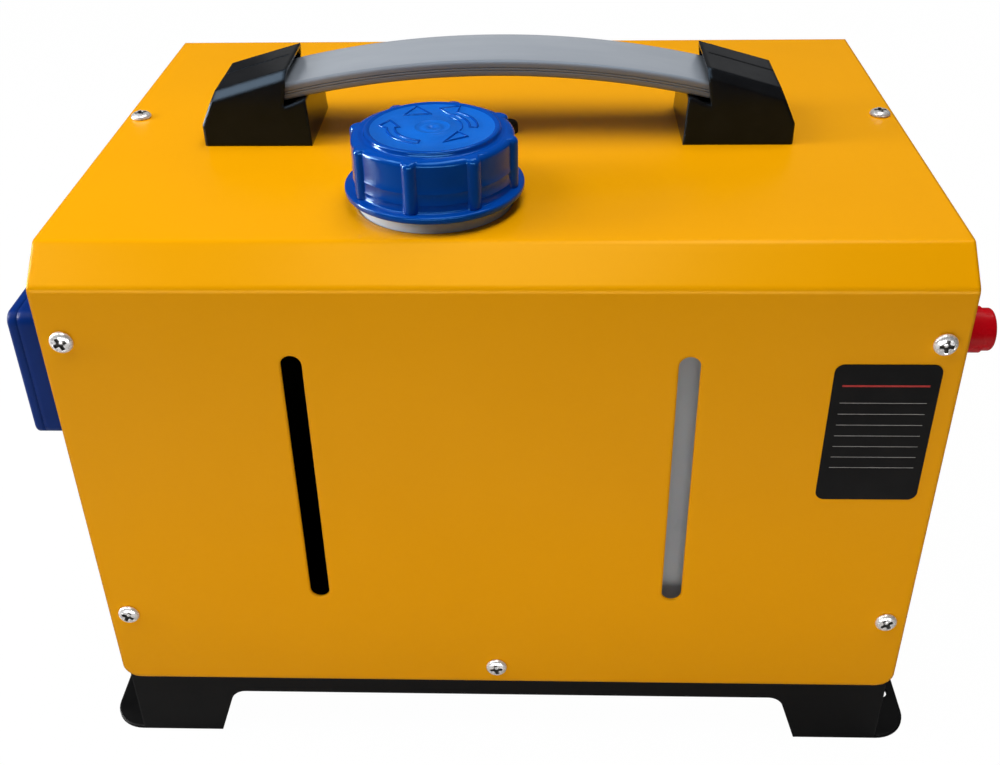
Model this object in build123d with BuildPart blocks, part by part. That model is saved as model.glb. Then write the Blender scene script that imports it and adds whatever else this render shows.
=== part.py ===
from build123d import *
from math import cos, radians, sin, sqrt
import os

os.makedirs("parts", exist_ok=True)

# Portable diesel air heater in a carrying case, in millimetres.
# X runs to the right and Y away from the front. Z is up from the floor.
# The origin lies on the floor, midway between the four mounting holes of the feet.

STAND = (Align.CENTER, Align.CENTER, Align.MIN)
HANG = (Align.CENTER, Align.CENTER, Align.MAX)

# Clearances
seat_gap = 0.3
panel_seam = 0.3
bolt_clearance = 0.1
running_clearance = 0.05

# Case cover
case_width = 380.0
case_depth = 274.0
case_top = 274.5
cover_lap = 1.5
cover_sheet = 1.2
chamfer_run = 16.5
chamfer_drop = 13.5
bend_radius = 4.0
cover_corner_radius = 8.0
mid_x = -3.8

# Sight slots in the front
slot_width = 9.0
slot_length = 134.5
slot_offset = 82.6
slot_drop = 112.0

# Cover screws
screw_edge = 9.5
screw_drop = 38.0
screw_low_rise = 40.0
screw_mid_rise = 7.0
top_screw_edge = 7.0
top_screw_y = 16.0
screw_radius = 2.5
screw_length = 7.5
screw_head_radius = 5.0
screw_head_height = 3.0
recess_width = 1.3
recess_span = 5.2
recess_depth = 1.8

# Rating label
label_width = 44.0
label_height = 70.0
label_edge = 30.0
label_drop = 83.0
label_corner = 4.0
label_thickness = 0.3

# Foot frame and floor pan
base_inset = 2.0
base_sheet = 1.5
base_height = 41.5
base_rim = 22.0
foot_span = 41.2
arch_slope = 9.8
arch_height = 28.5
rear_arch_height = 36.0
arch_fillet = 8.0
side_foot_span = 63.5
ear_width = 17.0
ear_length = 60.0
ear_corner = 16.5
foot_hole_radius = 4.25
pan_lip_height = 15.0
pan_lip_gap = 7.0

# Side panels
panel_sheet = 1.2
panel_rim = 17.0

# Handle
handle_y = 3.4
handle_width = 50.0
handle_side_gap = 51.6
handle_length = 51.4
handle_shoulder = 9.5
handle_draft = 2.4
hood_setback = 7.2
hood_length = 34.7
hood_low = 25.3
hood_high = 35.3
hood_chamfer = 3.8
hood_wall = 2.0
mouth_lean = 2.5
mouth_depth = 4.0
mouth_wall = 1.3
seam_offset = 4.0
seam_width = 0.8
seam_depth = 0.5
seam_setback = 3.4
ledge_low = 18.4
ledge_high = 22.4
ledge_setback = 1.5
handle_edge = 2.0
grip_width = 40.0
grip_thickness = 7.5
grip_top = 39.0
grip_radius = 450.0
grip_cover = 22.4
grip_edge = 1.8
grip_groove = 0.5
strap_width = 20.0
strap_thickness = 1.5
strap_depth = 3.0
strap_cover = 16.4
handle_bolt_cover = 26.4
handle_bolt_spacing = 28.0
handle_bolt_radius = 3.0
handle_bolt_depth = 12.0
handle_bolt_head = 5.0
handle_bolt_head_height = 4.0

# Fuel tank and filler
tank_side_gap = 3.0
tank_front_gap = 7.0
tank_top_gap = 12.5
tank_wall = 3.0
tank_edge = 12.0
pump_bay_width = 116.0
heater_bay_gap = 24.0
cap_inset_x = 43.9
cap_inset_y = 56.7
neck_collar_radius = 33.4
neck_collar_rise = 5.6
neck_thread_radius = 32.0
neck_bore_radius = 28.5
neck_hole_gap = 0.6
cap_gap = 0.3
cap_flange_radius = 38.4
cap_flange_thickness = 3.0
cap_body_radius = 34.4
cap_shoulder_height = 25.1
cap_disc_radius = 28.7
cap_disc_rise = 2.0
cap_roof = 2.0
cap_rib_count = 8
cap_rib_radius = 3.2
cap_rib_centre = 33.4
cap_rib_phase = 33.0
cap_rib_drop = 0.9
cap_fillet = 2.5
seal_thickness = 1.5
seal_inner_radius = 24.0
plug_x = 1.5
plug_y = -4.0
plug_head_radius = 4.5
plug_head_height = 5.5
plug_stem_radius = 3.3

# Partition between the tank and the heater
partition_gap = 3.3
partition_drop = 12.0
partition_foot = 14.0

# Fuel line
line_inset = 13.8
line_rise = 17.0
nipple_radius = 2.5
nipple_length = 10.0
hose_radius = 4.5
hose_bore = 2.6
outlet_flange_radius = 9.0
outlet_flange_thickness = 4.0
outlet_nipple = 12.0
filter_radius = 11.0
filter_length = 32.0
filter_nipple = 8.0
filter_edge = 2.0
hose_joint_gap = 2.0
hose_end_gap = 1.0
hose_shell_gap = 3.0
pump_inset = 23.0
pump_radius = 14.0
pump_length = 62.0
pump_end_radius = 10.0
pump_end_length = 8.0
pump_rise = 43.0
plunger_radius = 5.0
plunger_length = 26.0
plunger_stroke = 3.0
sleeve_thickness = 4.0
sleeve_length = 20.0
hose_rise = 31.0
hose_front_gap = 13.5
hose_bend = 18.0
hose_short_bend = 6.0
hose_low_bend = 14.0
clip_thickness = 0.9
clip_width = 4.0

# Heater unit
heater_rear_gap = 12.8
heater_rise = 65.0
heater_left_gap = 38.0
shell_width = 116.0
shell_height = 120.0
shell_corner = 28.0
shell_wall = 2.5
exchanger_start = 10.0
exchanger_length = 144.0
exchanger_radius = 36.0
exchanger_wall = 4.0
fin_count = 20
fin_radius = 53.0
fin_thickness = 1.8
fin_length = 120.0
foot_setback = 40.0
foot_length = 98.0
foot_width = 76.0
foot_thickness = 8.0
neck_length = 74.0
neck_width = 40.0
gasket_thickness = 3.0
stub_spacing = 48.0
stub_radius = 12.0
stub_bore = 10.5
stub_z = 17.0
stub_end_gap = 9.0
stub_bend = 16.0
stub_hole_gap = 1.5
heater_bolt_spacing_x = 84.0
heater_bolt_spacing_y = 62.0
heater_bolt_radius = 3.0
heater_bolt_head = 5.0
heater_bolt_head_height = 4.0
heater_bolt_grip = 6.0
burner_radius = 24.0
burner_wall = 1.5
burner_length = 74.0
burner_flange_radius = 36.0
burner_flange_thickness = 3.0
burner_head_radius = 20.0
burner_head_length = 9.0
fuel_pipe_drop = 18.0
fuel_pipe_reach = 7.0
glow_setback = 12.0
glow_tip_radius = 2.2
glow_body_radius = 4.5
glow_hex_radius = 6.0
glow_terminal_radius = 2.0
housing_radius = 42.0
housing_length = 35.0
impeller_cavity_radius = 36.0
impeller_cavity_length = 16.0
housing_floor = 15.0
air_eye_radius = 12.0
board_post_width = 36.0
board_post_length = 28.0
board_rise = 2.0
motor_radius = 22.0
motor_length = 46.0
motor_flange_radius = 28.0
motor_flange_thickness = 3.0
shaft_radius = 3.0
shaft_end_gap = 0.5
shaft_tail = 2.0
impeller_radius = 34.0
impeller_disc = 2.0
impeller_vane_height = 7.0
impeller_vane_count = 12
fan_gap = 10.0
intake_gap = 18.0
fan_hub_radius = 15.0
fan_hub_length = 24.0
fan_radius = 50.0
fan_blade_count = 7
fan_blade_chord = 26.0
fan_blade_thickness = 1.8
fan_blade_pitch = 40.0
board_length = 82.0
board_width = 48.0
board_thickness = 1.6
board_offset = 26.5
plug_block_width = 12.0
plug_block_height = 7.0
capacitor_radius = 5.0
capacitor_pitch = 14.0
chip_size = 14.0
sensor_length = 16.0
sensor_width = 10.0
sensor_height = 4.0
sensor_inset = 50.0
intake_cap_thickness = 6.0
intake_ring_step = 11.0
intake_bar = 3.0

# Hot-air outlet on the left side
duct_taper = 20.0
duct_radius = 39.5
duct_wall = 2.0
duct_end_gap = 0.5
vent_flange_radius = 52.0
vent_flange_thickness = 4.0
vent_sleeve_radius = 46.0
vent_sleeve_wall = 2.4
vent_sleeve_length = 14.0
vent_gap = 0.4
vent_ring_wall = 3.0
vent_slat_count = 5
vent_slat_pitch = 14.0
vent_slat_chord = 11.0
vent_slat_thickness = 1.8
vent_slat_tilt = 30.0

# Cold-air slots on the right side
intake_slot_count = 9
intake_slot_pitch = 10.0
intake_slot_height = 5.0
intake_slot_field = 48.0

# Control panel on the left side
panel_inset = 60.0
panel_drop = 63.5
control_length = 96.0
control_height = 62.0
control_corner = 5.0
control_wall = 2.0
control_back_depth = 15.3
control_front_depth = 4.7
control_face = 2.2
control_edge = 1.5
window_width = 56.0
window_height = 28.0
window_rise = 8.0
window_gap = 0.2
window_border = 2.0
window_thickness = 1.8
window_lip = 1.2
control_board_level = 9.0
control_board_thickness = 1.6
switch_height = 1.2
button_names = ("button_power", "button_mode", "button_down", "button_up")
button_spacing = 22.0
button_level = -18.0
button_radius = 5.0
button_gap = 0.4
button_flange_radius = 6.6
button_flange_thickness = 1.4
button_rise = 1.2
button_travel = 1.0
button_stem_radius = 3.0
cable_hole_radius = 5.0

# Binding posts on the right side
post_inset = 36.0
post_spacing = 40.0
post_drop = 52.5
post_base_radius = 11.0
post_base_thickness = 6.0
post_spigot_radius = 7.0
post_spigot_length = 8.0
stud_radius = 4.0
stud_inner_length = 14.0
stud_reach = 21.5
washer_radius = 8.0
washer_thickness = 1.6
washer_gap = 0.3
nut_skirt_radius = 10.2
nut_radius = 9.35
nut_skirt_length = 10.5
nut_length = 15.8
nut_bore_length = 14.5
nut_edge = 1.5

# Levels and faces that several pieces share
front_y = -case_depth / 2
rear_y = case_depth / 2
panel_x = case_width / 2 - base_inset
skin_inset = cover_sheet + panel_seam
base_width = 2 * panel_x
base_depth = case_depth - 2 * skin_inset
base_front = -base_depth / 2
pan_top = base_height + base_sheet
cover_bottom = base_height - cover_lap
screw_x = case_width / 2 - screw_edge
top_screw_x = case_width / 2 - top_screw_edge
handle_outer = case_width / 2 - handle_side_gap
handle_inner = handle_outer - handle_length
hood_outer = handle_outer - hood_setback
hood_inner = hood_outer - hood_length
grip_half_span = handle_outer - grip_cover
strap_half_span = handle_outer - strap_cover
heater_y = rear_y - cover_sheet - heater_rear_gap - shell_width / 2
heater_z = pan_top + heater_rise
heater_left = -panel_x + heater_left_gap
exchanger_left = heater_left + exchanger_start
exchanger_right = exchanger_left + exchanger_length
cold_face = exchanger_right + burner_flange_thickness
motor_face = cold_face + housing_length
fan_x = motor_face + motor_length + fan_gap + fan_hub_length / 2
heater_right = fan_x + fan_hub_length / 2 + intake_gap
foot_x = exchanger_right - foot_setback
glow_x = exchanger_right - glow_setback
shell_front = heater_y - shell_width / 2
tank_left = -panel_x + pump_bay_width
tank_right = panel_x - panel_rim - tank_side_gap
tank_front = front_y + cover_sheet + tank_front_gap
tank_rear = shell_front - heater_bay_gap
tank_top = case_top - tank_top_gap
cap_x = tank_left + cap_inset_x
cap_y = front_y + cap_inset_y
line_y = tank_front + line_inset
line_z = pan_top + line_rise
pump_x = -panel_x + pump_inset
pump_base_z = pan_top + pump_rise
neck_collar_top = case_top + neck_collar_rise
cap_bottom = neck_collar_top + cap_gap
cap_shoulder = cap_bottom + cap_shoulder_height
cap_cavity_top = cap_shoulder - cap_roof
neck_top = cap_cavity_top - seal_thickness - cap_gap
ear_hole_x = panel_x + ear_width / 2
ear_hole_y = base_depth / 2 - ear_length / 2
front_plane = Plane.XZ.offset(-front_y)
heater_axis = Plane(origin=(0, heater_y, heater_z), x_dir=(0, 1, 0), z_dir=(1, 0, 0))
foot_bottom = pan_top + gasket_thickness
exhaust_x = foot_x - stub_spacing / 2
air_x = foot_x + stub_spacing / 2
board_z = heater_z + housing_radius + board_rise
fuel_pipe_x = cold_face + burner_head_length / 2
fuel_pipe_z = heater_z - fuel_pipe_drop
fuel_pipe_end_y = shell_front - fuel_pipe_reach
vent_face = -panel_x - vent_flange_thickness
control_plane = Plane(
    origin=(-panel_x, front_y + panel_inset, case_top - panel_drop),
    x_dir=(0, -1, 0),
    z_dir=(-1, 0, 0),
)
control_face_level = control_back_depth + control_front_depth
grip_centre_z = case_top + grip_top - grip_radius

front_screws = [
    (-screw_x, case_top - screw_drop),
    (screw_x, case_top - screw_drop),
    (-screw_x, pan_top + screw_low_rise),
    (screw_x, pan_top + screw_low_rise),
    (mid_x, pan_top + screw_mid_rise),
]
screw_planes = [Plane(origin=(x, front_y, z), z_dir=(0, -1, 0)) for x, z in front_screws]
screw_planes += [Plane(origin=(x, rear_y, z), z_dir=(0, 1, 0)) for x, z in front_screws]
screw_planes += [Plane(origin=(x, top_screw_y, case_top)) for x in (-top_screw_x, top_screw_x)]

handle_bolt_points = [
    (mid_x + side * (handle_outer - handle_bolt_cover), handle_y + row * handle_bolt_spacing / 2)
    for side in (-1, 1)
    for row in (-1, 1)
]
heater_bolt_points = [
    (foot_x + side * heater_bolt_spacing_x / 2, heater_y + row * heater_bolt_spacing_y / 2)
    for side in (-1, 1)
    for row in (-1, 1)
]
post_points = [front_y + post_inset, front_y + post_inset + post_spacing]
post_z = case_top - post_drop
button_points = [(button_spacing * (i - 1.5), button_level) for i in range(len(button_names))]


def case_section(inset, bottom, x):
    """Side outline of the case at one X, drawn in by an inset, with its lower edge at bottom."""
    with BuildSketch(Plane.YZ.offset(x)) as section:
        with BuildLine():
            Polyline(
                (front_y, bottom - inset),
                (front_y, case_top - chamfer_drop),
                (front_y + chamfer_run, case_top),
                (rear_y, case_top),
                (rear_y, bottom - inset),
                close=True,
            )
        make_face()
        if inset:
            offset(amount=-inset, kind=Kind.INTERSECTION)
        bends = section.vertices().filter_by(lambda v: v.Y > bottom + cover_corner_radius)
        fillet(bends, radius=bend_radius - inset)
    return section.sketch


def pan_screw(head_radius, head_height, shank_radius, shank_length):
    """A pan-head screw standing on the origin, its shank below and a cross recess in its head."""
    with BuildPart() as screw:
        with BuildSketch(Plane.XZ):
            with BuildLine():
                Polyline((0, head_height), (0, 0), (head_radius, 0), (head_radius, head_height / 4))
                ThreePointArc(
                    (head_radius, head_height / 4),
                    (head_radius * 0.8, head_height * 0.75),
                    (0, head_height),
                )
            make_face()
        revolve(axis=Axis.Z)
        Cylinder(shank_radius, shank_length, align=HANG)
        with Locations((0, 0, head_height)):
            Box(recess_span, recess_width, 2 * recess_depth, mode=Mode.SUBTRACT)
            Box(recess_width, recess_span, 2 * recess_depth, mode=Mode.SUBTRACT)
    return screw.part


def grip_band(depth, thickness, half_span):
    """The handle's arc in the XZ plane: a band that starts at a depth below the grip's top."""
    outer = grip_radius - depth
    inner = outer - thickness
    outer_rise = sqrt(outer**2 - half_span**2)
    inner_rise = sqrt(inner**2 - half_span**2)
    with BuildSketch(Plane.XZ.offset(-handle_y)) as band:
        with Locations((mid_x, grip_centre_z)):
            with BuildLine():
                ThreePointArc((-half_span, outer_rise), (0, outer), (half_span, outer_rise))
                Line((half_span, outer_rise), (half_span, inner_rise))
                ThreePointArc((half_span, inner_rise), (0, inner), (-half_span, inner_rise))
                Line((-half_span, inner_rise), (-half_span, outer_rise))
            make_face()
    return band.sketch.moved(Location((mid_x, 0, grip_centre_z)))


# ---------------------------------------------------------------- foot frame
with BuildPart() as foot_frame:
    Box(base_width, base_depth, base_height, align=STAND)
    inner_width = base_width - 2 * base_sheet
    inner_depth = base_depth - 2 * base_sheet
    Box(inner_width, inner_depth, base_height - base_sheet, align=STAND, mode=Mode.SUBTRACT)
    Box(
        base_width - 2 * base_rim,
        base_depth - 2 * base_rim,
        base_height,
        align=STAND,
        mode=Mode.SUBTRACT,
    )
    arch_half_width = base_width / 2 - foot_span
    for wall_y, height in ((base_front, arch_height), (-base_front, rear_arch_height)):
        with BuildSketch(Plane.XZ.offset(-wall_y)) as arch:
            with BuildLine():
                Polyline(
                    (-arch_half_width, 0),
                    (-arch_half_width + arch_slope, height),
                    (arch_half_width - arch_slope, height),
                    (arch_half_width, 0),
                    close=True,
                )
            make_face()
            fillet(arch.vertices().group_by(Axis.Y)[-1], radius=arch_fillet)
        extrude(amount=2 * base_sheet, both=True, mode=Mode.SUBTRACT)
    side_arch_half_width = base_depth / 2 - side_foot_span
    with BuildSketch(Plane.YZ) as side_arch:
        with BuildLine():
            Polyline(
                (-side_arch_half_width, 0),
                (-side_arch_half_width + arch_slope, arch_height),
                (side_arch_half_width - arch_slope, arch_height),
                (side_arch_half_width, 0),
                close=True,
            )
        make_face()
        fillet(side_arch.vertices().group_by(Axis.Y)[-1], radius=arch_fillet)
    extrude(amount=base_width, both=True, mode=Mode.SUBTRACT)
    with BuildSketch() as ears:
        for side in (-1, 1):
            with Locations(*[(side * ear_hole_x, row * ear_hole_y) for row in (-1, 1)]):
                Rectangle(ear_width, ear_length)
        tips = ears.vertices().filter_by(lambda v: abs(v.X) > ear_hole_x)
        fillet(tips, radius=ear_corner)
        with GridLocations(2 * ear_hole_x, 2 * ear_hole_y, 2, 2):
            Circle(foot_hole_radius, mode=Mode.SUBTRACT)
    extrude(amount=base_sheet)
foot_frame.part.label = "foot_frame"
export_step(foot_frame.part, "parts/foot_frame.step")

# ---------------------------------------------------------------- floor pan
with BuildPart() as floor_pan:
    with BuildSketch(Plane.XY.offset(base_height)):
        Rectangle(base_width, base_depth)
        with Locations((exhaust_x, heater_y), (air_x, heater_y)):
            Circle(stub_radius + stub_hole_gap, mode=Mode.SUBTRACT)
        with Locations(*heater_bolt_points):
            Circle(heater_bolt_radius + bolt_clearance, mode=Mode.SUBTRACT)
    extrude(amount=base_sheet)
    for wall_y in (base_front + base_sheet / 2, -base_front - base_sheet / 2):
        with BuildSketch(Plane.XY.offset(base_height)):
            with Locations((0, wall_y)):
                Rectangle(base_width - 2 * (panel_rim + pan_lip_gap), base_sheet)
        extrude(amount=base_sheet + pan_lip_height)
    with Locations(*screw_planes):
        Cylinder(screw_radius + bolt_clearance, screw_length, align=HANG, mode=Mode.SUBTRACT)
floor_pan.part.label = "floor_pan"
export_step(floor_pan.part, "parts/floor_pan.step")

# ---------------------------------------------------------------- top cover
cover_outside = case_section(0, cover_bottom, -case_width / 2)
cover_inside = case_section(cover_sheet, cover_bottom - 1, -case_width / 2)
with BuildPart() as top_cover:
    extrude(cover_outside, amount=case_width)
    extrude(cover_inside, amount=case_width, mode=Mode.SUBTRACT)
    hems = top_cover.edges().filter_by(Axis.Y).group_by(Axis.Z)[0]
    fillet(hems, radius=cover_corner_radius)
    with BuildSketch(front_plane):
        with Locations(*[(mid_x + side * slot_offset, case_top - slot_drop) for side in (-1, 1)]):
            SlotOverall(slot_length, slot_width, rotation=90)
    extrude(amount=2 * cover_sheet, both=True, mode=Mode.SUBTRACT)
    with BuildSketch(Plane.XY.offset(case_top)):
        with Locations((cap_x, cap_y)):
            Circle(neck_collar_radius + neck_hole_gap)
        with Locations(*handle_bolt_points):
            Circle(handle_bolt_radius + bolt_clearance)
        with Locations((plug_x, plug_y)):
            Circle(plug_stem_radius + bolt_clearance)
    extrude(amount=2 * cover_sheet, both=True, mode=Mode.SUBTRACT)
    with Locations(*screw_planes):
        Cylinder(screw_radius + bolt_clearance, screw_length, align=HANG, mode=Mode.SUBTRACT)
top_cover.part.label = "top_cover"
export_step(top_cover.part, "parts/top_cover.step")

# ---------------------------------------------------------------- side panels
panel_cavity = panel_rim - panel_sheet
left_outside = case_section(skin_inset, pan_top, -panel_x)
left_inside = case_section(skin_inset + panel_sheet, pan_top + panel_sheet, -panel_x + panel_sheet)
with BuildPart() as left_side_panel:
    extrude(left_outside, amount=panel_rim)
    extrude(left_inside, amount=panel_cavity, mode=Mode.SUBTRACT)
    with Locations(*screw_planes):
        Cylinder(screw_radius + bolt_clearance, screw_length, align=HANG, mode=Mode.SUBTRACT)
    with BuildSketch(heater_axis.offset(-panel_x)):
        Circle(duct_radius + 1.5)
    extrude(amount=panel_sheet, mode=Mode.SUBTRACT)
    with BuildSketch(control_plane):
        Circle(cable_hole_radius)
    extrude(amount=-panel_sheet, mode=Mode.SUBTRACT)
left_side_panel.part.label = "left_side_panel"
export_step(left_side_panel.part, "parts/left_side_panel.step")

right_outside = case_section(skin_inset, pan_top, panel_x - panel_rim)
right_inside = case_section(skin_inset + panel_sheet, pan_top + panel_sheet, panel_x - panel_rim)
with BuildPart() as right_side_panel:
    extrude(right_outside, amount=panel_rim)
    extrude(right_inside, amount=panel_cavity, mode=Mode.SUBTRACT)
    with Locations(*screw_planes):
        Cylinder(screw_radius + bolt_clearance, screw_length, align=HANG, mode=Mode.SUBTRACT)
    with BuildSketch(heater_axis.offset(panel_x)):
        for row in range(intake_slot_count):
            rise = intake_slot_pitch * (row - (intake_slot_count - 1) / 2)
            with Locations((0, rise)):
                SlotOverall(2 * sqrt(intake_slot_field**2 - rise**2), intake_slot_height)
    extrude(amount=-panel_sheet, mode=Mode.SUBTRACT)
    with BuildSketch(Plane.YZ.offset(panel_x)):
        with Locations(*[(y, post_z) for y in post_points]):
            Circle(post_spigot_radius + bolt_clearance)
    extrude(amount=-panel_sheet, mode=Mode.SUBTRACT)
right_side_panel.part.label = "right_side_panel"
export_step(right_side_panel.part, "parts/right_side_panel.step")

# ---------------------------------------------------------------- cover screws
cover_screw = pan_screw(screw_head_radius, screw_head_height, screw_radius, screw_length)
with BuildPart() as cover_screws:
    with Locations(*screw_planes):
        add(cover_screw)
cover_screws.part.label = "cover_screws"
export_step(cover_screws.part, "parts/cover_screws.step")

# ---------------------------------------------------------------- rating label
with BuildPart() as rating_label:
    with BuildSketch(front_plane):
        with Locations((case_width / 2 - label_edge, case_top - label_drop)):
            RectangleRounded(label_width, label_height, label_corner)
    extrude(amount=label_thickness)
rating_label.part.label = "rating_label"
export_step(rating_label.part, "parts/rating_label.step")

# ---------------------------------------------------------------- vent plug
with BuildPart() as vent_plug:
    with BuildSketch(Plane.XY.offset(case_top)):
        with Locations((plug_x, plug_y)):
            Circle(plug_head_radius)
    extrude(amount=plug_head_height)
    fillet(vent_plug.edges().group_by(Axis.Z)[-1], radius=plug_head_radius / 2)
    with BuildSketch(Plane.XY.offset(case_top)):
        with Locations((plug_x, plug_y)):
            Circle(plug_stem_radius)
    extrude(amount=-2 * plug_head_height)
vent_plug.part.label = "vent_plug"
export_step(vent_plug.part, "parts/vent_plug.step")

# ---------------------------------------------------------------- handle
grip_outline = grip_band(0, grip_thickness, grip_half_span)
strap_outline = grip_band(strap_depth, strap_thickness, strap_half_span)
strap_slot = grip_band(strap_depth - seat_gap, strap_thickness + 2 * seat_gap, strap_half_span + 1)
grip_socket = grip_band(-seat_gap, grip_thickness + 2 * seat_gap, grip_half_span + 1)
groove_line = grip_band(grip_thickness * 0.55, grip_groove, grip_half_span + 1)

with BuildPart() as handle_grip:
    extrude(grip_outline, amount=grip_width / 2, both=True)
    long_edges = handle_grip.edges().filter_by(GeomType.CIRCLE)
    fillet(long_edges.group_by(Axis.Z)[-1], radius=grip_edge)
    extrude(strap_slot, amount=strap_width / 2 + seat_gap, both=True, mode=Mode.SUBTRACT)
    groove_ring = extrude(groove_line, amount=grip_width / 2, both=True, mode=Mode.PRIVATE)
    groove_core = extrude(
        grip_socket, amount=grip_width / 2 - grip_groove, both=True, mode=Mode.PRIVATE
    )
    add(groove_ring - groove_core, mode=Mode.SUBTRACT)
handle_grip.part.label = "handle_grip"
export_step(handle_grip.part, "parts/handle_grip.step")

with BuildPart() as handle_strap:
    extrude(strap_outline, amount=strap_width / 2, both=True)
handle_strap.part.label = "handle_strap"
export_step(handle_strap.part, "parts/handle_strap.step")


def handle_end(side):
    """One end block of the handle: a drafted wedge with a hood over the grip and a ledge under it."""
    roof_slope = (hood_high - hood_low) / hood_length
    mouth_x = mid_x + side * hood_inner
    with BuildPart() as mouth:
        with BuildSketch(Plane.XZ.offset(-handle_y)):
            with BuildLine():
                mouth_end = mouth_x + side * mouth_depth
                mouth_top = case_top + hood_high - hood_wall
                Polyline(
                    (mouth_x - side * mouth_lean, mouth_top + roof_slope * mouth_lean),
                    (mouth_end, mouth_top - roof_slope * mouth_depth),
                    (mouth_end, case_top + ledge_low),
                    (mouth_x - side * mouth_lean, case_top + ledge_low),
                    close=True,
                )
            make_face()
        extrude(amount=handle_width / 2 - handle_draft - mouth_wall, both=True)
        shoulders = mouth.edges().filter_by(
            lambda e: abs(e.center().Y - handle_y) > 1 and e.center().Z > case_top + hood_low
        )
        chamfer(shoulders.filter_by(lambda e: abs(e.tangent_at(0).X) > 0.5), length=hood_chamfer)
    with BuildPart() as block:
        with BuildSketch(Plane.XZ.offset(-handle_y)):
            with BuildLine():
                Polyline(
                    (mid_x + side * handle_outer, case_top),
                    (mid_x + side * handle_outer, case_top + handle_shoulder),
                    (mid_x + side * hood_outer, case_top + hood_low),
                    (mouth_x, case_top + hood_high),
                    (mouth_x + side * mouth_lean, case_top + ledge_low),
                    (mid_x + side * (handle_inner + ledge_setback), case_top + ledge_high),
                    (mid_x + side * handle_inner, case_top),
                    close=True,
                )
            make_face()
        extrude(amount=handle_width / 2, both=True)
        posts = block.edges().filter_by(Axis.Z).group_by(Axis.Z)[0]
        fillet(posts.filter_by(lambda e: abs(e.center().X - mid_x) > hood_outer), radius=handle_edge)
        for row in (-1, 1):
            with BuildSketch(Plane.YZ.offset(mid_x)):
                with BuildLine():
                    foot = handle_y + row * handle_width / 2
                    Polyline(
                        (foot, case_top),
                        (foot + row * handle_draft, case_top),
                        (foot + row * handle_draft, case_top + hood_high),
                        (foot - row * handle_draft, case_top + hood_high),
                        close=True,
                    )
                make_face()
            extrude(amount=side * handle_outer, mode=Mode.SUBTRACT)
        roof_x = mid_x + side * (hood_outer + hood_inner) / 2
        roof_edges = block.edges().filter_by(
            lambda e: abs(e.center().X - roof_x) < 1
            and e.center().Z > case_top + ledge_high
            and abs(e.center().Y - handle_y) > handle_width / 4
        )
        chamfer(roof_edges, length=hood_chamfer)
        add(mouth.part, mode=Mode.SUBTRACT)
        with BuildSketch(Plane.XZ.offset(-handle_y - seam_offset)):
            with BuildLine():
                seam_low = case_top + hood_low - seam_depth
                seam_high = case_top + hood_high - roof_slope * seam_setback - seam_depth
                Polyline(
                    (mid_x + side * (hood_outer + 1), seam_low - roof_slope),
                    (mouth_x + side * seam_setback, seam_high),
                    (mouth_x + side * seam_setback, seam_high + hood_wall),
                    (mid_x + side * (hood_outer + 1), seam_low - roof_slope + hood_wall),
                    close=True,
                )
            make_face()
        extrude(amount=seam_width / 2, both=True, mode=Mode.SUBTRACT)
        extrude(grip_socket, amount=grip_width / 2 + seat_gap, both=True, mode=Mode.SUBTRACT)
        extrude(strap_slot, amount=strap_width / 2 + seat_gap, both=True, mode=Mode.SUBTRACT)
        with BuildSketch(Plane.XY.offset(case_top)):
            with Locations(*handle_bolt_points):
                Circle(handle_bolt_radius + bolt_clearance)
        extrude(amount=handle_bolt_depth + 1, mode=Mode.SUBTRACT)
    return block


handle_end_left = handle_end(-1)
handle_end_left.part.label = "handle_end_left"
export_step(handle_end_left.part, "parts/handle_end_left.step")

handle_end_right = handle_end(1)
handle_end_right.part.label = "handle_end_right"
export_step(handle_end_right.part, "parts/handle_end_right.step")

with BuildPart() as handle_bolts:
    with BuildSketch(Plane.XY.offset(case_top - cover_sheet)):
        with Locations(*handle_bolt_points):
            Circle(handle_bolt_radius)
    extrude(amount=cover_sheet + handle_bolt_depth)
    with BuildSketch(Plane.XY.offset(case_top - cover_sheet)):
        with Locations(*handle_bolt_points):
            RegularPolygon(handle_bolt_head, 6)
    extrude(amount=-handle_bolt_head_height)
handle_bolts.part.label = "handle_bolts"
export_step(handle_bolts.part, "parts/handle_bolts.step")

# ---------------------------------------------------------------- fuel tank
tank_width = tank_right - tank_left
tank_depth = tank_rear - tank_front
tank_x = (tank_left + tank_right) / 2
tank_y = (tank_front + tank_rear) / 2
with BuildPart() as fuel_tank:
    with BuildSketch(Plane.XY.offset(pan_top)):
        with Locations((tank_x, tank_y)):
            RectangleRounded(tank_width, tank_depth, tank_edge)
    extrude(amount=tank_top - pan_top)
    fillet(fuel_tank.edges().group_by(Axis.Z)[-1], radius=tank_edge / 2)
    with BuildSketch(Plane.XY.offset(tank_top - tank_wall)):
        with Locations((cap_x, cap_y)):
            Circle(neck_collar_radius)
    extrude(amount=neck_collar_top - tank_top + tank_wall)
    with BuildSketch(Plane.XY.offset(neck_collar_top)):
        with Locations((cap_x, cap_y)):
            Circle(neck_thread_radius)
    extrude(amount=neck_top - neck_collar_top)
    with BuildSketch(Plane.XY.offset(pan_top + tank_wall)):
        with Locations((tank_x, tank_y)):
            RectangleRounded(
                tank_width - 2 * tank_wall, tank_depth - 2 * tank_wall, tank_edge - tank_wall
            )
    extrude(amount=tank_top - pan_top - 2 * tank_wall, mode=Mode.SUBTRACT)
    with BuildSketch(Plane.XY.offset(tank_top - 2 * tank_wall)):
        with Locations((cap_x, cap_y)):
            Circle(neck_bore_radius)
    extrude(amount=neck_top - tank_top + 2 * tank_wall, mode=Mode.SUBTRACT)
    with Locations(Plane(origin=(tank_left, line_y, line_z), z_dir=(-1, 0, 0))):
        Cylinder(nipple_radius + bolt_clearance, 3 * tank_wall, mode=Mode.SUBTRACT)
fuel_tank.part.label = "fuel_tank"
export_step(fuel_tank.part, "parts/fuel_tank.step")

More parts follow.
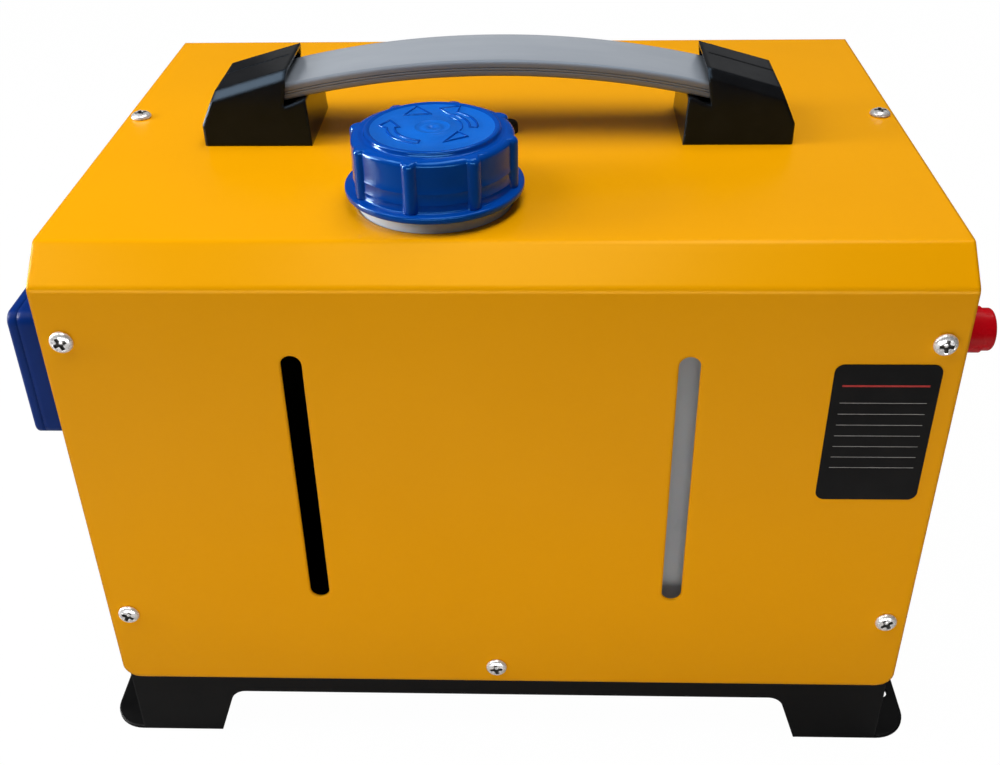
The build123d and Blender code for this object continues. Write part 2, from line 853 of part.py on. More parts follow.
# ---------------------------------------------------------------- filler cap
cap_axis = Plane(origin=(cap_x, cap_y, 0))
with BuildPart() as filler_cap:
    with BuildSketch(cap_axis.offset(cap_bottom)):
        Circle(cap_body_radius)
    extrude(amount=cap_shoulder_height)
    fillet(filler_cap.edges().group_by(Axis.Z)[-1], radius=cap_fillet)
    with BuildSketch(cap_axis.offset(cap_bottom)):
        with PolarLocations(cap_rib_centre, cap_rib_count, start_angle=cap_rib_phase):
            Circle(cap_rib_radius)
    extrude(amount=cap_shoulder_height - cap_rib_drop)
    with BuildSketch(cap_axis.offset(cap_bottom)):
        Circle(cap_flange_radius)
    extrude(amount=cap_flange_thickness)
    with BuildSketch(cap_axis.offset(cap_shoulder)):
        Circle(cap_disc_radius)
    extrude(amount=cap_disc_rise)
    fillet(filler_cap.edges().group_by(Axis.Z)[-1], radius=cap_disc_rise / 2)
    with BuildSketch(cap_axis.offset(cap_bottom)):
        Circle(neck_thread_radius + cap_gap)
    extrude(amount=cap_cavity_top - cap_bottom, mode=Mode.SUBTRACT)
filler_cap.part.label = "filler_cap"
export_step(filler_cap.part, "parts/filler_cap.step")

with BuildPart() as cap_seal:
    with BuildSketch(cap_axis.offset(cap_cavity_top - seal_thickness)):
        Circle(neck_thread_radius - cap_gap)
        Circle(seal_inner_radius, mode=Mode.SUBTRACT)
    extrude(amount=seal_thickness)
cap_seal.part.label = "cap_seal"
export_step(cap_seal.part, "parts/cap_seal.step")

# ---------------------------------------------------------------- tank partition
partition_y = tank_rear + partition_gap
partition_top = tank_top - partition_drop
with BuildPart() as tank_partition:
    with BuildSketch(Plane.YZ.offset(tank_left)):
        with BuildLine():
            Polyline(
                (partition_y, pan_top),
                (partition_y + partition_foot, pan_top),
                (partition_y + partition_foot, pan_top + panel_sheet),
                (partition_y + panel_sheet, pan_top + panel_sheet),
                (partition_y + panel_sheet, partition_top),
                (partition_y, partition_top),
                close=True,
            )
        make_face()
    extrude(amount=tank_width)
tank_partition.part.label = "tank_partition"
export_step(tank_partition.part, "parts/tank_partition.step")

# ---------------------------------------------------------------- fuel line
line_axis = Plane(origin=(tank_left, line_y, line_z), x_dir=(0, 1, 0), z_dir=(-1, 0, 0))
outlet_length = outlet_flange_thickness + outlet_nipple
filter_start = outlet_length + hose_joint_gap + filter_nipple
filter_end = filter_start + filter_length
with BuildPart() as fuel_outlet:
    with BuildSketch(line_axis):
        RegularPolygon(outlet_flange_radius, 6)
    extrude(amount=outlet_flange_thickness)
    with BuildSketch(line_axis.offset(-tank_wall - 1)):
        Circle(nipple_radius)
    extrude(amount=outlet_length + tank_wall + 1)
fuel_outlet.part.label = "fuel_outlet"
export_step(fuel_outlet.part, "parts/fuel_outlet.step")

with BuildPart() as fuel_filter:
    with BuildSketch(line_axis.offset(filter_start)):
        Circle(filter_radius)
    extrude(amount=filter_length)
    fillet(fuel_filter.edges().filter_by(GeomType.CIRCLE), radius=filter_edge)
    with BuildSketch(line_axis.offset(filter_start - filter_nipple)):
        Circle(nipple_radius)
    extrude(amount=filter_length + 2 * filter_nipple)
fuel_filter.part.label = "fuel_filter"
export_step(fuel_filter.part, "parts/fuel_filter.step")

pump_axis = Plane(origin=(pump_x, line_y, 0))
pump_body_z = pump_base_z + pump_end_length
pump_top_z = pump_body_z + pump_length + pump_end_length
plunger_bore_length = plunger_length + plunger_stroke + 2 * seat_gap
plunger_z = pump_body_z + (pump_length - plunger_bore_length) / 2
with BuildPart() as pump_body:
    with BuildSketch(pump_axis.offset(pump_body_z)):
        Circle(pump_radius)
    extrude(amount=pump_length)
    with BuildSketch(pump_axis.offset(pump_base_z)):
        Circle(pump_end_radius)
    extrude(amount=pump_top_z - pump_base_z)
    with BuildSketch(pump_axis.offset(pump_base_z - nipple_length)):
        Circle(nipple_radius)
    extrude(amount=pump_top_z - pump_base_z + 2 * nipple_length)
    with BuildSketch(pump_axis.offset(plunger_z)):
        Circle(plunger_radius + running_clearance)
    extrude(amount=plunger_bore_length, mode=Mode.SUBTRACT)
pump_body.part.label = "pump_body"
export_step(pump_body.part, "parts/pump_body.step")

with BuildPart() as pump_plunger:
    with BuildSketch(pump_axis.offset(plunger_z + seat_gap)):
        Circle(plunger_radius)
    extrude(amount=plunger_length)
pump_plunger.part.label = "pump_plunger"
export_step(pump_plunger.part, "parts/pump_plunger.step")

sleeve_z = pump_body_z + (pump_length - sleeve_length) / 2
sleeve_radius = pump_radius + sleeve_thickness
with BuildPart() as pump_mount:
    with BuildSketch(pump_axis.offset(sleeve_z)):
        Circle(sleeve_radius)
        with Locations(((-panel_x + panel_sheet - pump_x) / 2, 0)):
            Rectangle(panel_x - panel_sheet + pump_x, sleeve_length)
        Circle(pump_radius + bolt_clearance, mode=Mode.SUBTRACT)
    extrude(amount=sleeve_length)
pump_mount.part.label = "pump_mount"
export_step(pump_mount.part, "parts/pump_mount.step")

filter_left_x = tank_left - filter_end
tank_hose_start = tank_left - outlet_flange_thickness - hose_end_gap
tank_hose_end = tank_left - filter_start + hose_end_gap
pump_hose_start = (filter_left_x - hose_end_gap, line_y, line_z)
with BuildPart() as feed_hoses:
    with BuildSketch(Plane(origin=(tank_hose_start, line_y, line_z), z_dir=(-1, 0, 0))):
        Circle(hose_radius)
        Circle(hose_bore, mode=Mode.SUBTRACT)
    extrude(amount=tank_hose_start - tank_hose_end)
    with BuildLine() as pump_route:
        FilletPolyline(
            pump_hose_start,
            (pump_x, line_y, line_z),
            (pump_x, line_y, pump_base_z - hose_end_gap),
            radius=hose_low_bend,
        )
    with BuildSketch(Plane(origin=pump_hose_start, z_dir=(-1, 0, 0))):
        Circle(hose_radius)
        Circle(hose_bore, mode=Mode.SUBTRACT)
    sweep(path=pump_route.wires()[0])
feed_hoses.part.label = "feed_hoses"
export_step(feed_hoses.part, "parts/feed_hoses.step")

hose_top_z = pump_top_z + hose_rise
hose_rear_y = shell_front - hose_front_gap
heater_hose_start = (pump_x, line_y, pump_top_z + hose_end_gap)
heater_hose_end = (fuel_pipe_x, shell_front - hose_shell_gap, fuel_pipe_z)
with BuildPart() as heater_hose:
    with BuildLine() as heater_route:
        FilletPolyline(
            heater_hose_start,
            (pump_x, line_y, hose_top_z),
            (pump_x, hose_rear_y, hose_top_z),
            (fuel_pipe_x, hose_rear_y, hose_top_z),
            (fuel_pipe_x, hose_rear_y, fuel_pipe_z),
            heater_hose_end,
            radius=[hose_bend, hose_bend, hose_bend, hose_short_bend],
        )
    with BuildSketch(Plane(origin=heater_hose_start, z_dir=(0, 0, 1))):
        Circle(hose_radius)
        Circle(hose_bore, mode=Mode.SUBTRACT)
    sweep(path=heater_route.wires()[0])
heater_hose.part.label = "heater_hose"
export_step(heater_hose.part, "parts/heater_hose.step")

clip_reach = nipple_length / 2
clip_planes = [
    Plane(origin=(tank_hose_start - clip_reach, line_y, line_z), z_dir=(1, 0, 0)),
    Plane(origin=(tank_hose_end + clip_reach, line_y, line_z), z_dir=(1, 0, 0)),
    Plane(origin=(filter_left_x - clip_reach, line_y, line_z), z_dir=(1, 0, 0)),
    Plane(origin=(pump_x, line_y, pump_base_z - clip_reach)),
    Plane(origin=(pump_x, line_y, pump_top_z + clip_reach)),
    Plane(origin=(fuel_pipe_x, heater_hose_end[1] - clip_width / 2, fuel_pipe_z), z_dir=(0, 1, 0)),
]
with BuildPart() as hose_clips:
    with Locations(*clip_planes):
        Cylinder(hose_radius + clip_thickness, clip_width)
        Cylinder(hose_radius + running_clearance, clip_width, mode=Mode.SUBTRACT)
hose_clips.part.label = "hose_clips"
export_step(hose_clips.part, "parts/hose_clips.step")

# ---------------------------------------------------------------- heater unit
foot_point = (foot_x, heater_y)
with BuildPart() as heat_exchanger:
    with Locations(heater_axis.offset(exchanger_left)):
        Cylinder(exchanger_radius, exchanger_right - exchanger_left, align=STAND)
    with BuildSketch(heater_axis.offset(exchanger_left + exchanger_wall)):
        fin_reach = fin_radius - exchanger_radius + 1
        with PolarLocations(fin_radius - fin_reach / 2, fin_count):
            Rectangle(fin_reach, fin_thickness)
    extrude(amount=fin_length)
    with BuildSketch(Plane.XY.offset(foot_bottom)):
        with Locations(foot_point):
            Rectangle(foot_length, foot_width)
    extrude(amount=foot_thickness)
    with BuildSketch(Plane.XY.offset(foot_bottom)):
        with Locations(foot_point):
            Rectangle(neck_length, neck_width)
    extrude(amount=heater_z - exchanger_radius - foot_bottom + exchanger_wall)
    with Locations(heater_axis.offset(exchanger_left + exchanger_wall)):
        Cylinder(
            exchanger_radius - exchanger_wall,
            exchanger_right - exchanger_left,
            align=STAND,
            mode=Mode.SUBTRACT,
        )
    with BuildSketch(Plane.XY.offset(foot_bottom)):
        with Locations((exhaust_x, heater_y), (air_x, heater_y)):
            Circle(stub_bore)
    extrude(amount=heater_z - exchanger_radius - foot_bottom + 2 * exchanger_wall, mode=Mode.SUBTRACT)
    with BuildSketch(Plane.XY.offset(foot_bottom)):
        with Locations(*heater_bolt_points):
            Circle(heater_bolt_radius + bolt_clearance)
    extrude(amount=heater_bolt_grip, mode=Mode.SUBTRACT)
    with Locations((glow_x, heater_y, heater_z)):
        Cylinder(
            glow_body_radius + bolt_clearance, fin_radius, align=STAND, mode=Mode.SUBTRACT
        )
heat_exchanger.part.label = "heat_exchanger"
export_step(heat_exchanger.part, "parts/heat_exchanger.step")

with BuildPart() as base_gasket:
    with BuildSketch(Plane.XY.offset(pan_top)):
        with Locations(foot_point):
            Rectangle(foot_length, foot_width)
        with Locations((exhaust_x, heater_y), (air_x, heater_y)):
            Circle(stub_radius + bolt_clearance, mode=Mode.SUBTRACT)
        with Locations(*heater_bolt_points):
            Circle(heater_bolt_radius + bolt_clearance, mode=Mode.SUBTRACT)
    extrude(amount=gasket_thickness)
base_gasket.part.label = "base_gasket"
export_step(base_gasket.part, "parts/base_gasket.step")

with BuildPart() as heater_bolts:
    with BuildSketch(Plane.XY.offset(base_height)):
        with Locations(*heater_bolt_points):
            Circle(heater_bolt_radius)
    extrude(amount=base_sheet + gasket_thickness + heater_bolt_grip - 1)
    with BuildSketch(Plane.XY.offset(base_height)):
        with Locations(*heater_bolt_points):
            RegularPolygon(heater_bolt_head, 6)
    extrude(amount=-heater_bolt_head_height)
heater_bolts.part.label = "heater_bolts"
export_step(heater_bolts.part, "parts/heater_bolts.step")


def gas_stub(x):
    """A steel pipe that leaves the heater's foot downwards and turns to the rear."""
    with BuildPart() as pipe:
        with BuildLine() as route:
            FilletPolyline(
                (x, heater_y, foot_bottom),
                (x, heater_y, stub_z),
                (x, rear_y - stub_end_gap, stub_z),
                radius=stub_bend,
            )
        with BuildSketch(Plane(origin=(x, heater_y, foot_bottom), z_dir=(0, 0, -1))):
            Circle(stub_radius)
            Circle(stub_bore, mode=Mode.SUBTRACT)
        sweep(path=route.wires()[0])
    return pipe


exhaust_stub = gas_stub(exhaust_x)
exhaust_stub.part.label = "exhaust_stub"
export_step(exhaust_stub.part, "parts/exhaust_stub.step")

combustion_air_stub = gas_stub(air_x)
combustion_air_stub.part.label = "combustion_air_stub"
export_step(combustion_air_stub.part, "parts/combustion_air_stub.step")

fuel_pipe_plane = Plane(origin=(fuel_pipe_x, fuel_pipe_end_y, fuel_pipe_z), z_dir=(0, 1, 0))
with BuildPart() as burner_tube:
    with Locations(heater_axis.offset(exchanger_right - burner_length)):
        Cylinder(burner_radius, burner_length, align=STAND)
        Cylinder(
            burner_radius - burner_wall, burner_length - burner_wall, align=STAND, mode=Mode.SUBTRACT
        )
    with Locations(heater_axis.offset(exchanger_right)):
        Cylinder(burner_flange_radius, burner_flange_thickness, align=STAND)
    with Locations(heater_axis.offset(cold_face)):
        Cylinder(burner_head_radius, burner_head_length, align=STAND)
    with Locations(fuel_pipe_plane):
        Cylinder(nipple_radius, heater_y - fuel_pipe_end_y, align=STAND)
    with Locations((glow_x, heater_y, heater_z)):
        Cylinder(glow_tip_radius + bolt_clearance, exchanger_radius, align=STAND, mode=Mode.SUBTRACT)
burner_tube.part.label = "burner_tube"
export_step(burner_tube.part, "parts/burner_tube.step")

glow_axis = Plane(origin=(glow_x, heater_y, heater_z))
glow_seat = exchanger_radius + 2
with BuildPart() as glow_plug:
    with Locations(glow_axis.offset(burner_radius / 2)):
        Cylinder(glow_tip_radius, glow_seat - burner_radius / 2, align=STAND)
    with Locations(glow_axis.offset(burner_radius + 1)):
        Cylinder(glow_body_radius, glow_seat - burner_radius - 1, align=STAND)
    with BuildSketch(glow_axis.offset(exchanger_radius)):
        RegularPolygon(glow_hex_radius, 6)
    extrude(amount=glow_body_radius)
    with Locations(glow_axis.offset(glow_seat)):
        Cylinder(glow_terminal_radius, glow_seat / 3, align=STAND)
glow_plug.part.label = "glow_plug"
export_step(glow_plug.part, "parts/glow_plug.step")

impeller_start = cold_face + housing_floor
with BuildPart() as blower_housing:
    with Locations(heater_axis.offset(cold_face)):
        Cylinder(housing_radius, housing_length, align=STAND)
    with BuildSketch(Plane.XY.offset(heater_z)):
        with Locations((cold_face + housing_length / 2, heater_y)):
            Rectangle(board_post_length, board_post_width)
    extrude(amount=board_z - heater_z)
    with Locations(heater_axis.offset(cold_face)):
        Cylinder(
            burner_head_radius + seat_gap,
            burner_head_length + seat_gap,
            align=STAND,
            mode=Mode.SUBTRACT,
        )
        Cylinder(air_eye_radius, housing_floor, align=STAND, mode=Mode.SUBTRACT)
    with Locations(heater_axis.offset(impeller_start)):
        Cylinder(
            impeller_cavity_radius, impeller_cavity_length, align=STAND, mode=Mode.SUBTRACT
        )
        Cylinder(shaft_radius + seat_gap, housing_length, align=STAND, mode=Mode.SUBTRACT)
    with Locations(fuel_pipe_plane):
        Cylinder(
            nipple_radius + bolt_clearance,
            heater_y - fuel_pipe_end_y + nipple_radius,
            align=STAND,
            mode=Mode.SUBTRACT,
        )
blower_housing.part.label = "blower_housing"
export_step(blower_housing.part, "parts/blower_housing.step")

with BuildPart() as blower_motor:
    with Locations(heater_axis.offset(motor_face)):
        Cylinder(motor_flange_radius, motor_flange_thickness, align=STAND)
        Cylinder(motor_radius, motor_length, align=STAND)
        Cylinder(shaft_radius + running_clearance, motor_length, align=STAND, mode=Mode.SUBTRACT)
blower_motor.part.label = "blower_motor"
export_step(blower_motor.part, "parts/blower_motor.step")

shaft_start = impeller_start + shaft_end_gap
shaft_end = fan_x + fan_hub_length / 2 + shaft_tail
with BuildPart() as motor_shaft:
    with Locations(heater_axis.offset(shaft_start)):
        Cylinder(shaft_radius, shaft_end - shaft_start, align=STAND)
motor_shaft.part.label = "motor_shaft"
export_step(motor_shaft.part, "parts/motor_shaft.step")

impeller_back = impeller_start + (impeller_cavity_length - impeller_vane_height - impeller_disc) / 2
with BuildPart() as combustion_impeller:
    with Locations(heater_axis.offset(impeller_back)):
        Cylinder(impeller_radius, impeller_disc, align=STAND)
        Cylinder(2.5 * shaft_radius, impeller_disc + impeller_vane_height, align=STAND)
    with BuildSketch(heater_axis.offset(impeller_back + impeller_disc)):
        with PolarLocations(impeller_radius * 0.7, impeller_vane_count):
            Rectangle(impeller_radius * 0.55, impeller_disc, rotation=25)
    extrude(amount=impeller_vane_height)
    with Locations(heater_axis.offset(impeller_back)):
        Cylinder(
            shaft_radius + running_clearance, impeller_cavity_length, align=STAND, mode=Mode.SUBTRACT
        )
combustion_impeller.part.label = "combustion_impeller"
export_step(combustion_impeller.part, "parts/combustion_impeller.step")

blade_reach = fan_radius - fan_hub_radius + 2
blade_centre = fan_radius - blade_reach / 2 - 1
blade_planes = []
for blade in range(fan_blade_count):
    turn = radians(360 * blade / fan_blade_count)
    tilt = radians(fan_blade_pitch)
    blade_planes.append(
        Plane(
            origin=(fan_x, heater_y + blade_centre * cos(turn), heater_z + blade_centre * sin(turn)),
            x_dir=(0, cos(turn), sin(turn)),
            z_dir=(sin(tilt), -sin(turn) * cos(tilt), cos(turn) * cos(tilt)),
        )
    )
with BuildPart() as heating_fan:
    with Locations(heater_axis.offset(fan_x)):
        Cylinder(fan_hub_radius, fan_hub_length)
    with Locations(*blade_planes):
        Box(blade_reach, fan_blade_chord, fan_blade_thickness)
    with Locations(heater_axis.offset(fan_x)):
        Cylinder(shaft_radius + running_clearance, fan_hub_length, mode=Mode.SUBTRACT)
heating_fan.part.label = "heating_fan"
export_step(heating_fan.part, "parts/heating_fan.step")

board_x = cold_face + housing_length / 2 + board_offset
with BuildPart() as control_board:
    with BuildSketch(Plane.XY.offset(board_z)):
        with Locations((board_x, heater_y)):
            Rectangle(board_length, board_width)
    extrude(amount=board_thickness)
    with BuildSketch(Plane.XY.offset(board_z + board_thickness)):
        with Locations((board_x + board_length / 2 - plug_block_width, heater_y)):
            Rectangle(plug_block_width, board_width - plug_block_width)
        with Locations(*[(board_x - row * capacitor_pitch, heater_y + capacitor_pitch) for row in (0, 1)]):
            Circle(capacitor_radius)
        with Locations((board_x - chip_size, heater_y - chip_size)):
            Rectangle(chip_size, chip_size)
    extrude(amount=plug_block_height)
control_board.part.label = "control_board"
export_step(control_board.part, "parts/control_board.step")

with BuildPart() as overheat_sensor:
    with BuildSketch(Plane.XY.offset(heater_z + fin_radius)):
        with Locations((exchanger_left + sensor_inset, heater_y)):
            RectangleRounded(sensor_length, sensor_width, 2)
    extrude(amount=sensor_height)
overheat_sensor.part.label = "overheat_sensor"
export_step(overheat_sensor.part, "parts/overheat_sensor.step")


def heater_shell(side):
    """Half of the heater's casing: the upper half for side 1, the lower half for side -1."""
    with BuildPart() as shell:
        with BuildSketch(heater_axis.offset(heater_left)):
            RectangleRounded(shell_width, shell_height, shell_corner)
            RectangleRounded(
                shell_width - 2 * shell_wall,
                shell_height - 2 * shell_wall,
                shell_corner - shell_wall,
                mode=Mode.SUBTRACT,
            )
        extrude(amount=heater_right - heater_left)
        split(bisect_by=Plane.XY.offset(heater_z), keep=Keep.TOP if side > 0 else Keep.BOTTOM)
        if side < 0:
            with BuildSketch(Plane.XY.offset(pan_top)):
                with Locations(foot_point):
                    Rectangle(foot_length + 2 * seat_gap, foot_width + 2 * seat_gap)
            extrude(amount=foot_thickness + 4 * shell_wall, mode=Mode.SUBTRACT)
            with Locations(fuel_pipe_plane):
                Cylinder(nipple_radius + 1, heater_y / 2, align=STAND, mode=Mode.SUBTRACT)
    return shell


heater_lower_shell = heater_shell(-1)
heater_lower_shell.part.label = "heater_lower_shell"
export_step(heater_lower_shell.part, "parts/heater_lower_shell.step")

heater_upper_shell = heater_shell(1)
heater_upper_shell.part.label = "heater_upper_shell"
export_step(heater_upper_shell.part, "parts/heater_upper_shell.step")

with BuildPart() as intake_cap:
    with BuildSketch(heater_axis.offset(heater_right)):
        RectangleRounded(shell_width, shell_height, shell_corner)
        Circle(fan_radius, mode=Mode.SUBTRACT)
        for ring in range(1, 5):
            Circle(fan_radius - ring * intake_ring_step + intake_bar)
            Circle(fan_radius - ring * intake_ring_step, mode=Mode.SUBTRACT)
        Rectangle(2 * fan_radius + 1, intake_bar)
        Rectangle(intake_bar, 2 * fan_radius + 1)
    extrude(amount=intake_cap_thickness)
intake_cap.part.label = "intake_cap"
export_step(intake_cap.part, "parts/intake_cap.step")

# ---------------------------------------------------------------- hot-air outlet
duct_length = heater_left - duct_taper + panel_x - duct_end_gap
with BuildPart() as outlet_duct:
    for shrink, mode in ((0, Mode.ADD), (duct_wall, Mode.SUBTRACT)):
        throat = 2 * (duct_radius - shrink)
        with BuildSketch(heater_axis.offset(heater_left)):
            RectangleRounded(shell_width - 2 * shrink, shell_height - 2 * shrink, shell_corner - shrink)
        with BuildSketch(heater_axis.offset(heater_left - duct_taper)):
            RectangleRounded(throat, throat, throat / 2 - 0.1)
        loft(ruled=True, mode=mode)
    with BuildSketch(heater_axis.offset(heater_left - duct_taper)):
        Circle(duct_radius)
        Circle(duct_radius - duct_wall, mode=Mode.SUBTRACT)
    extrude(amount=-duct_length)
outlet_duct.part.label = "outlet_duct"
export_step(outlet_duct.part, "parts/outlet_duct.step")

with BuildPart() as outlet_vent_ring:
    with BuildSketch(heater_axis.offset(-panel_x)):
        Circle(vent_flange_radius)
        Circle(duct_radius + seat_gap, mode=Mode.SUBTRACT)
    extrude(amount=-vent_flange_thickness)
    with BuildSketch(heater_axis.offset(vent_face)):
        Circle(vent_sleeve_radius)
        Circle(vent_sleeve_radius - vent_sleeve_wall, mode=Mode.SUBTRACT)
    extrude(amount=-vent_sleeve_length)
outlet_vent_ring.part.label = "outlet_vent_ring"
export_step(outlet_vent_ring.part, "parts/outlet_vent_ring.step")

louvre_radius = vent_sleeve_radius - vent_sleeve_wall - vent_gap
louvre_x = vent_face - vent_gap - vent_sleeve_length / 2
slat_planes = []
for slat in range(vent_slat_count):
    rise = vent_slat_pitch * (slat - (vent_slat_count - 1) / 2)
    tilt = radians(vent_slat_tilt)
    slat_planes.append(
        Plane(
            origin=(louvre_x, heater_y, heater_z + rise),
            x_dir=(0, 1, 0),
            z_dir=(sin(tilt), 0, cos(tilt)),
        )
    )
with BuildPart() as outlet_louvre:
    with Locations(*slat_planes):
        Box(2 * louvre_radius, vent_slat_chord, vent_slat_thickness)
    with Locations(heater_axis.offset(louvre_x)):
        Cylinder(louvre_radius - 1, vent_sleeve_length, mode=Mode.INTERSECT)
    with BuildSketch(heater_axis.offset(vent_face - vent_gap)):
        Circle(louvre_radius)
        Circle(louvre_radius - vent_ring_wall, mode=Mode.SUBTRACT)
    extrude(amount=-vent_sleeve_length)
outlet_louvre.part.label = "outlet_louvre"
export_step(outlet_louvre.part, "parts/outlet_louvre.step")

# ---------------------------------------------------------------- control panel
inner_length = control_length - 2 * control_wall
inner_height = control_height - 2 * control_wall
inner_corner = control_corner - control_wall
with BuildPart() as controller_back_shell:
    with BuildSketch(control_plane):
        RectangleRounded(control_length, control_height, control_corner)
    extrude(amount=control_back_depth)
    with BuildSketch(control_plane.offset(control_wall)):
        RectangleRounded(inner_length, inner_height, inner_corner)
    extrude(amount=control_back_depth, mode=Mode.SUBTRACT)
    with BuildSketch(control_plane):
        with GridLocations(inner_length - inner_corner - 4, inner_height - inner_corner - 4, 2, 2):
            Circle(control_wall)
    extrude(amount=control_board_level)
    with BuildSketch(control_plane):
        Circle(cable_hole_radius)
    extrude(amount=control_wall, mode=Mode.SUBTRACT)
controller_back_shell.part.label = "controller_back_shell"
export_step(controller_back_shell.part, "parts/controller_back_shell.step")

with BuildPart() as controller_front_shell:
    with BuildSketch(control_plane.offset(control_back_depth)):
        RectangleRounded(control_length, control_height, control_corner)
    extrude(amount=control_front_depth)
    fillet(controller_front_shell.edges().group_by(Axis.X)[0], radius=control_edge)
    with BuildSketch(control_plane.offset(control_back_depth)):
        RectangleRounded(inner_length, inner_height, inner_corner)
    extrude(amount=control_front_depth - control_face, mode=Mode.SUBTRACT)
    with BuildSketch(control_plane.offset(control_back_depth)):
        with Locations((0, window_rise)):
            RectangleRounded(window_width, window_height, window_border)
        with Locations(*button_points):
            Circle(button_radius + button_gap)
    extrude(amount=control_front_depth, mode=Mode.SUBTRACT)
controller_front_shell.part.label = "controller_front_shell"
export_step(controller_front_shell.part, "parts/controller_front_shell.step")

control_inner_face = control_face_level - control_face
with BuildPart() as controller_window:
    with BuildSketch(control_plane.offset(control_inner_face)):
        with Locations((0, window_rise)):
            RectangleRounded(
                window_width - 2 * window_gap, window_height - 2 * window_gap, window_border
            )
    extrude(amount=window_thickness)
    with BuildSketch(control_plane.offset(control_inner_face)):
        with Locations((0, window_rise)):
            RectangleRounded(
                window_width + 2 * window_border, window_height + window_border, window_border
            )
    extrude(amount=-window_lip)
controller_window.part.label = "controller_window"
export_step(controller_window.part, "parts/controller_window.step")

control_board_top = control_board_level + control_board_thickness
with BuildPart() as controller_board:
    with BuildSketch(control_plane.offset(control_board_level)):
        RectangleRounded(inner_length - 2, inner_height - 2, inner_corner - 1)
    extrude(amount=control_board_thickness)
    with BuildSketch(control_plane.offset(control_board_top)):
        with Locations((0, window_rise)):
            Rectangle(window_width, window_height)
    extrude(amount=control_inner_face - window_lip - seat_gap - control_board_top)
    with BuildSketch(control_plane.offset(control_board_top)):
        with Locations(*button_points):
            Circle(button_stem_radius)
    extrude(amount=switch_height)
controller_board.part.label = "controller_board"
export_step(controller_board.part, "parts/controller_board.step")

button_back = control_board_top + switch_height + button_travel + seat_gap / 3
flange_top = control_inner_face - seat_gap
for button_name, point in zip(button_names, button_points):
    with BuildPart() as button:
        with BuildSketch(control_plane.offset(button_back)):
            with Locations(point):
                Circle(button_stem_radius)
        extrude(amount=flange_top - button_back)
        with BuildSketch(control_plane.offset(flange_top - button_flange_thickness)):
            with Locations(point):
                Circle(button_flange_radius)
        extrude(amount=button_flange_thickness)
        with BuildSketch(control_plane.offset(flange_top)):
            with Locations(point):
                Circle(button_radius)
        extrude(amount=control_face_level + button_rise - flange_top)
        fillet(button.edges().group_by(Axis.X)[0], radius=button_rise / 2)
    button.part.label = button_name
    export_step(button.part, f"parts/{button_name}.step")

# ---------------------------------------------------------------- binding posts
post_names = ("positive", "negative")
nut_start = post_base_thickness + washer_thickness + 2 * washer_gap
for post_name, y in zip(post_names, post_points):
    post_axis = Plane(origin=(panel_x, y, post_z), x_dir=(0, 1, 0), z_dir=(1, 0, 0))

    with BuildPart() as post_base:
        with Locations(post_axis):
            Cylinder(post_base_radius, post_base_thickness, align=STAND)
            Cylinder(post_spigot_radius, post_spigot_length, align=HANG)
        with Locations(post_axis.offset(-post_spigot_length)):
            Cylinder(
                stud_radius + bolt_clearance,
                post_spigot_length + post_base_thickness,
                align=STAND,
                mode=Mode.SUBTRACT,
            )
    post_base.part.label = f"{post_name}_post_base"
    export_step(post_base.part, f"parts/{post_name}_post_base.step")

    with BuildPart() as washer:
        with Locations(post_axis.offset(post_base_thickness + washer_gap)):
            Cylinder(washer_radius, washer_thickness, align=STAND)
            Cylinder(stud_radius + seat_gap, washer_thickness, align=STAND, mode=Mode.SUBTRACT)
    washer.part.label = f"{post_name}_post_washer"
    export_step(washer.part, f"parts/{post_name}_post_washer.step")

    with BuildPart() as nut:
        with BuildSketch(post_axis.offset(nut_start)):
            Circle(nut_radius)
        extrude(amount=nut_length)
        fillet(nut.edges().group_by(Axis.X)[-1], radius=nut_edge)
        with BuildSketch(post_axis.offset(nut_start)):
            Circle(nut_skirt_radius)
        extrude(amount=nut_skirt_length)
        with Locations(post_axis.offset(nut_start)):
            Cylinder(
                stud_radius + running_clearance, nut_bore_length, align=STAND, mode=Mode.SUBTRACT
            )
    nut.part.label = f"{post_name}_post_nut"
    export_step(nut.part, f"parts/{post_name}_post_nut.step")

with BuildPart() as post_studs:
    for y in post_points:
        with Locations(Plane(origin=(panel_x - stud_inner_length, y, post_z), z_dir=(1, 0, 0))):
            Cylinder(stud_radius, stud_inner_length + stud_reach, align=STAND)
post_studs.part.label = "post_studs"
export_step(post_studs.part, "parts/post_studs.step")
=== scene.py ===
from math import cos, pi, radians, sin, sqrt

import bmesh
import bpy
from mathutils import Matrix, Vector


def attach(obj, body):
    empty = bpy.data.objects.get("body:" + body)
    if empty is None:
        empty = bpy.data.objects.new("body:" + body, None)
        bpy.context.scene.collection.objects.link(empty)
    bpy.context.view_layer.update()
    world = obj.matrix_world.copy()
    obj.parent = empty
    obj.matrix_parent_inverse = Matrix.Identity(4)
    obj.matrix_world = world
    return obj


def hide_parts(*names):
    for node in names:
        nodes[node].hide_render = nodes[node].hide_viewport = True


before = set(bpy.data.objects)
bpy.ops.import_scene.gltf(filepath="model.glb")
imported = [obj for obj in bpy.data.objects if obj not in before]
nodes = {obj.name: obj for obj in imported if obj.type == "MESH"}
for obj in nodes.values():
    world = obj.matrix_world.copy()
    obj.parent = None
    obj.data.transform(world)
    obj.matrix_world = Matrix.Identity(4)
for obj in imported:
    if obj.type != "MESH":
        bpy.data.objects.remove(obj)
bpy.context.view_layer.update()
scene = bpy.context.scene
MM = 0.001


# ------------------------------------------------------------------ materials
def link(tree, out, into):
    """Joins an output socket to an input socket."""
    tree.links.new(out, into)


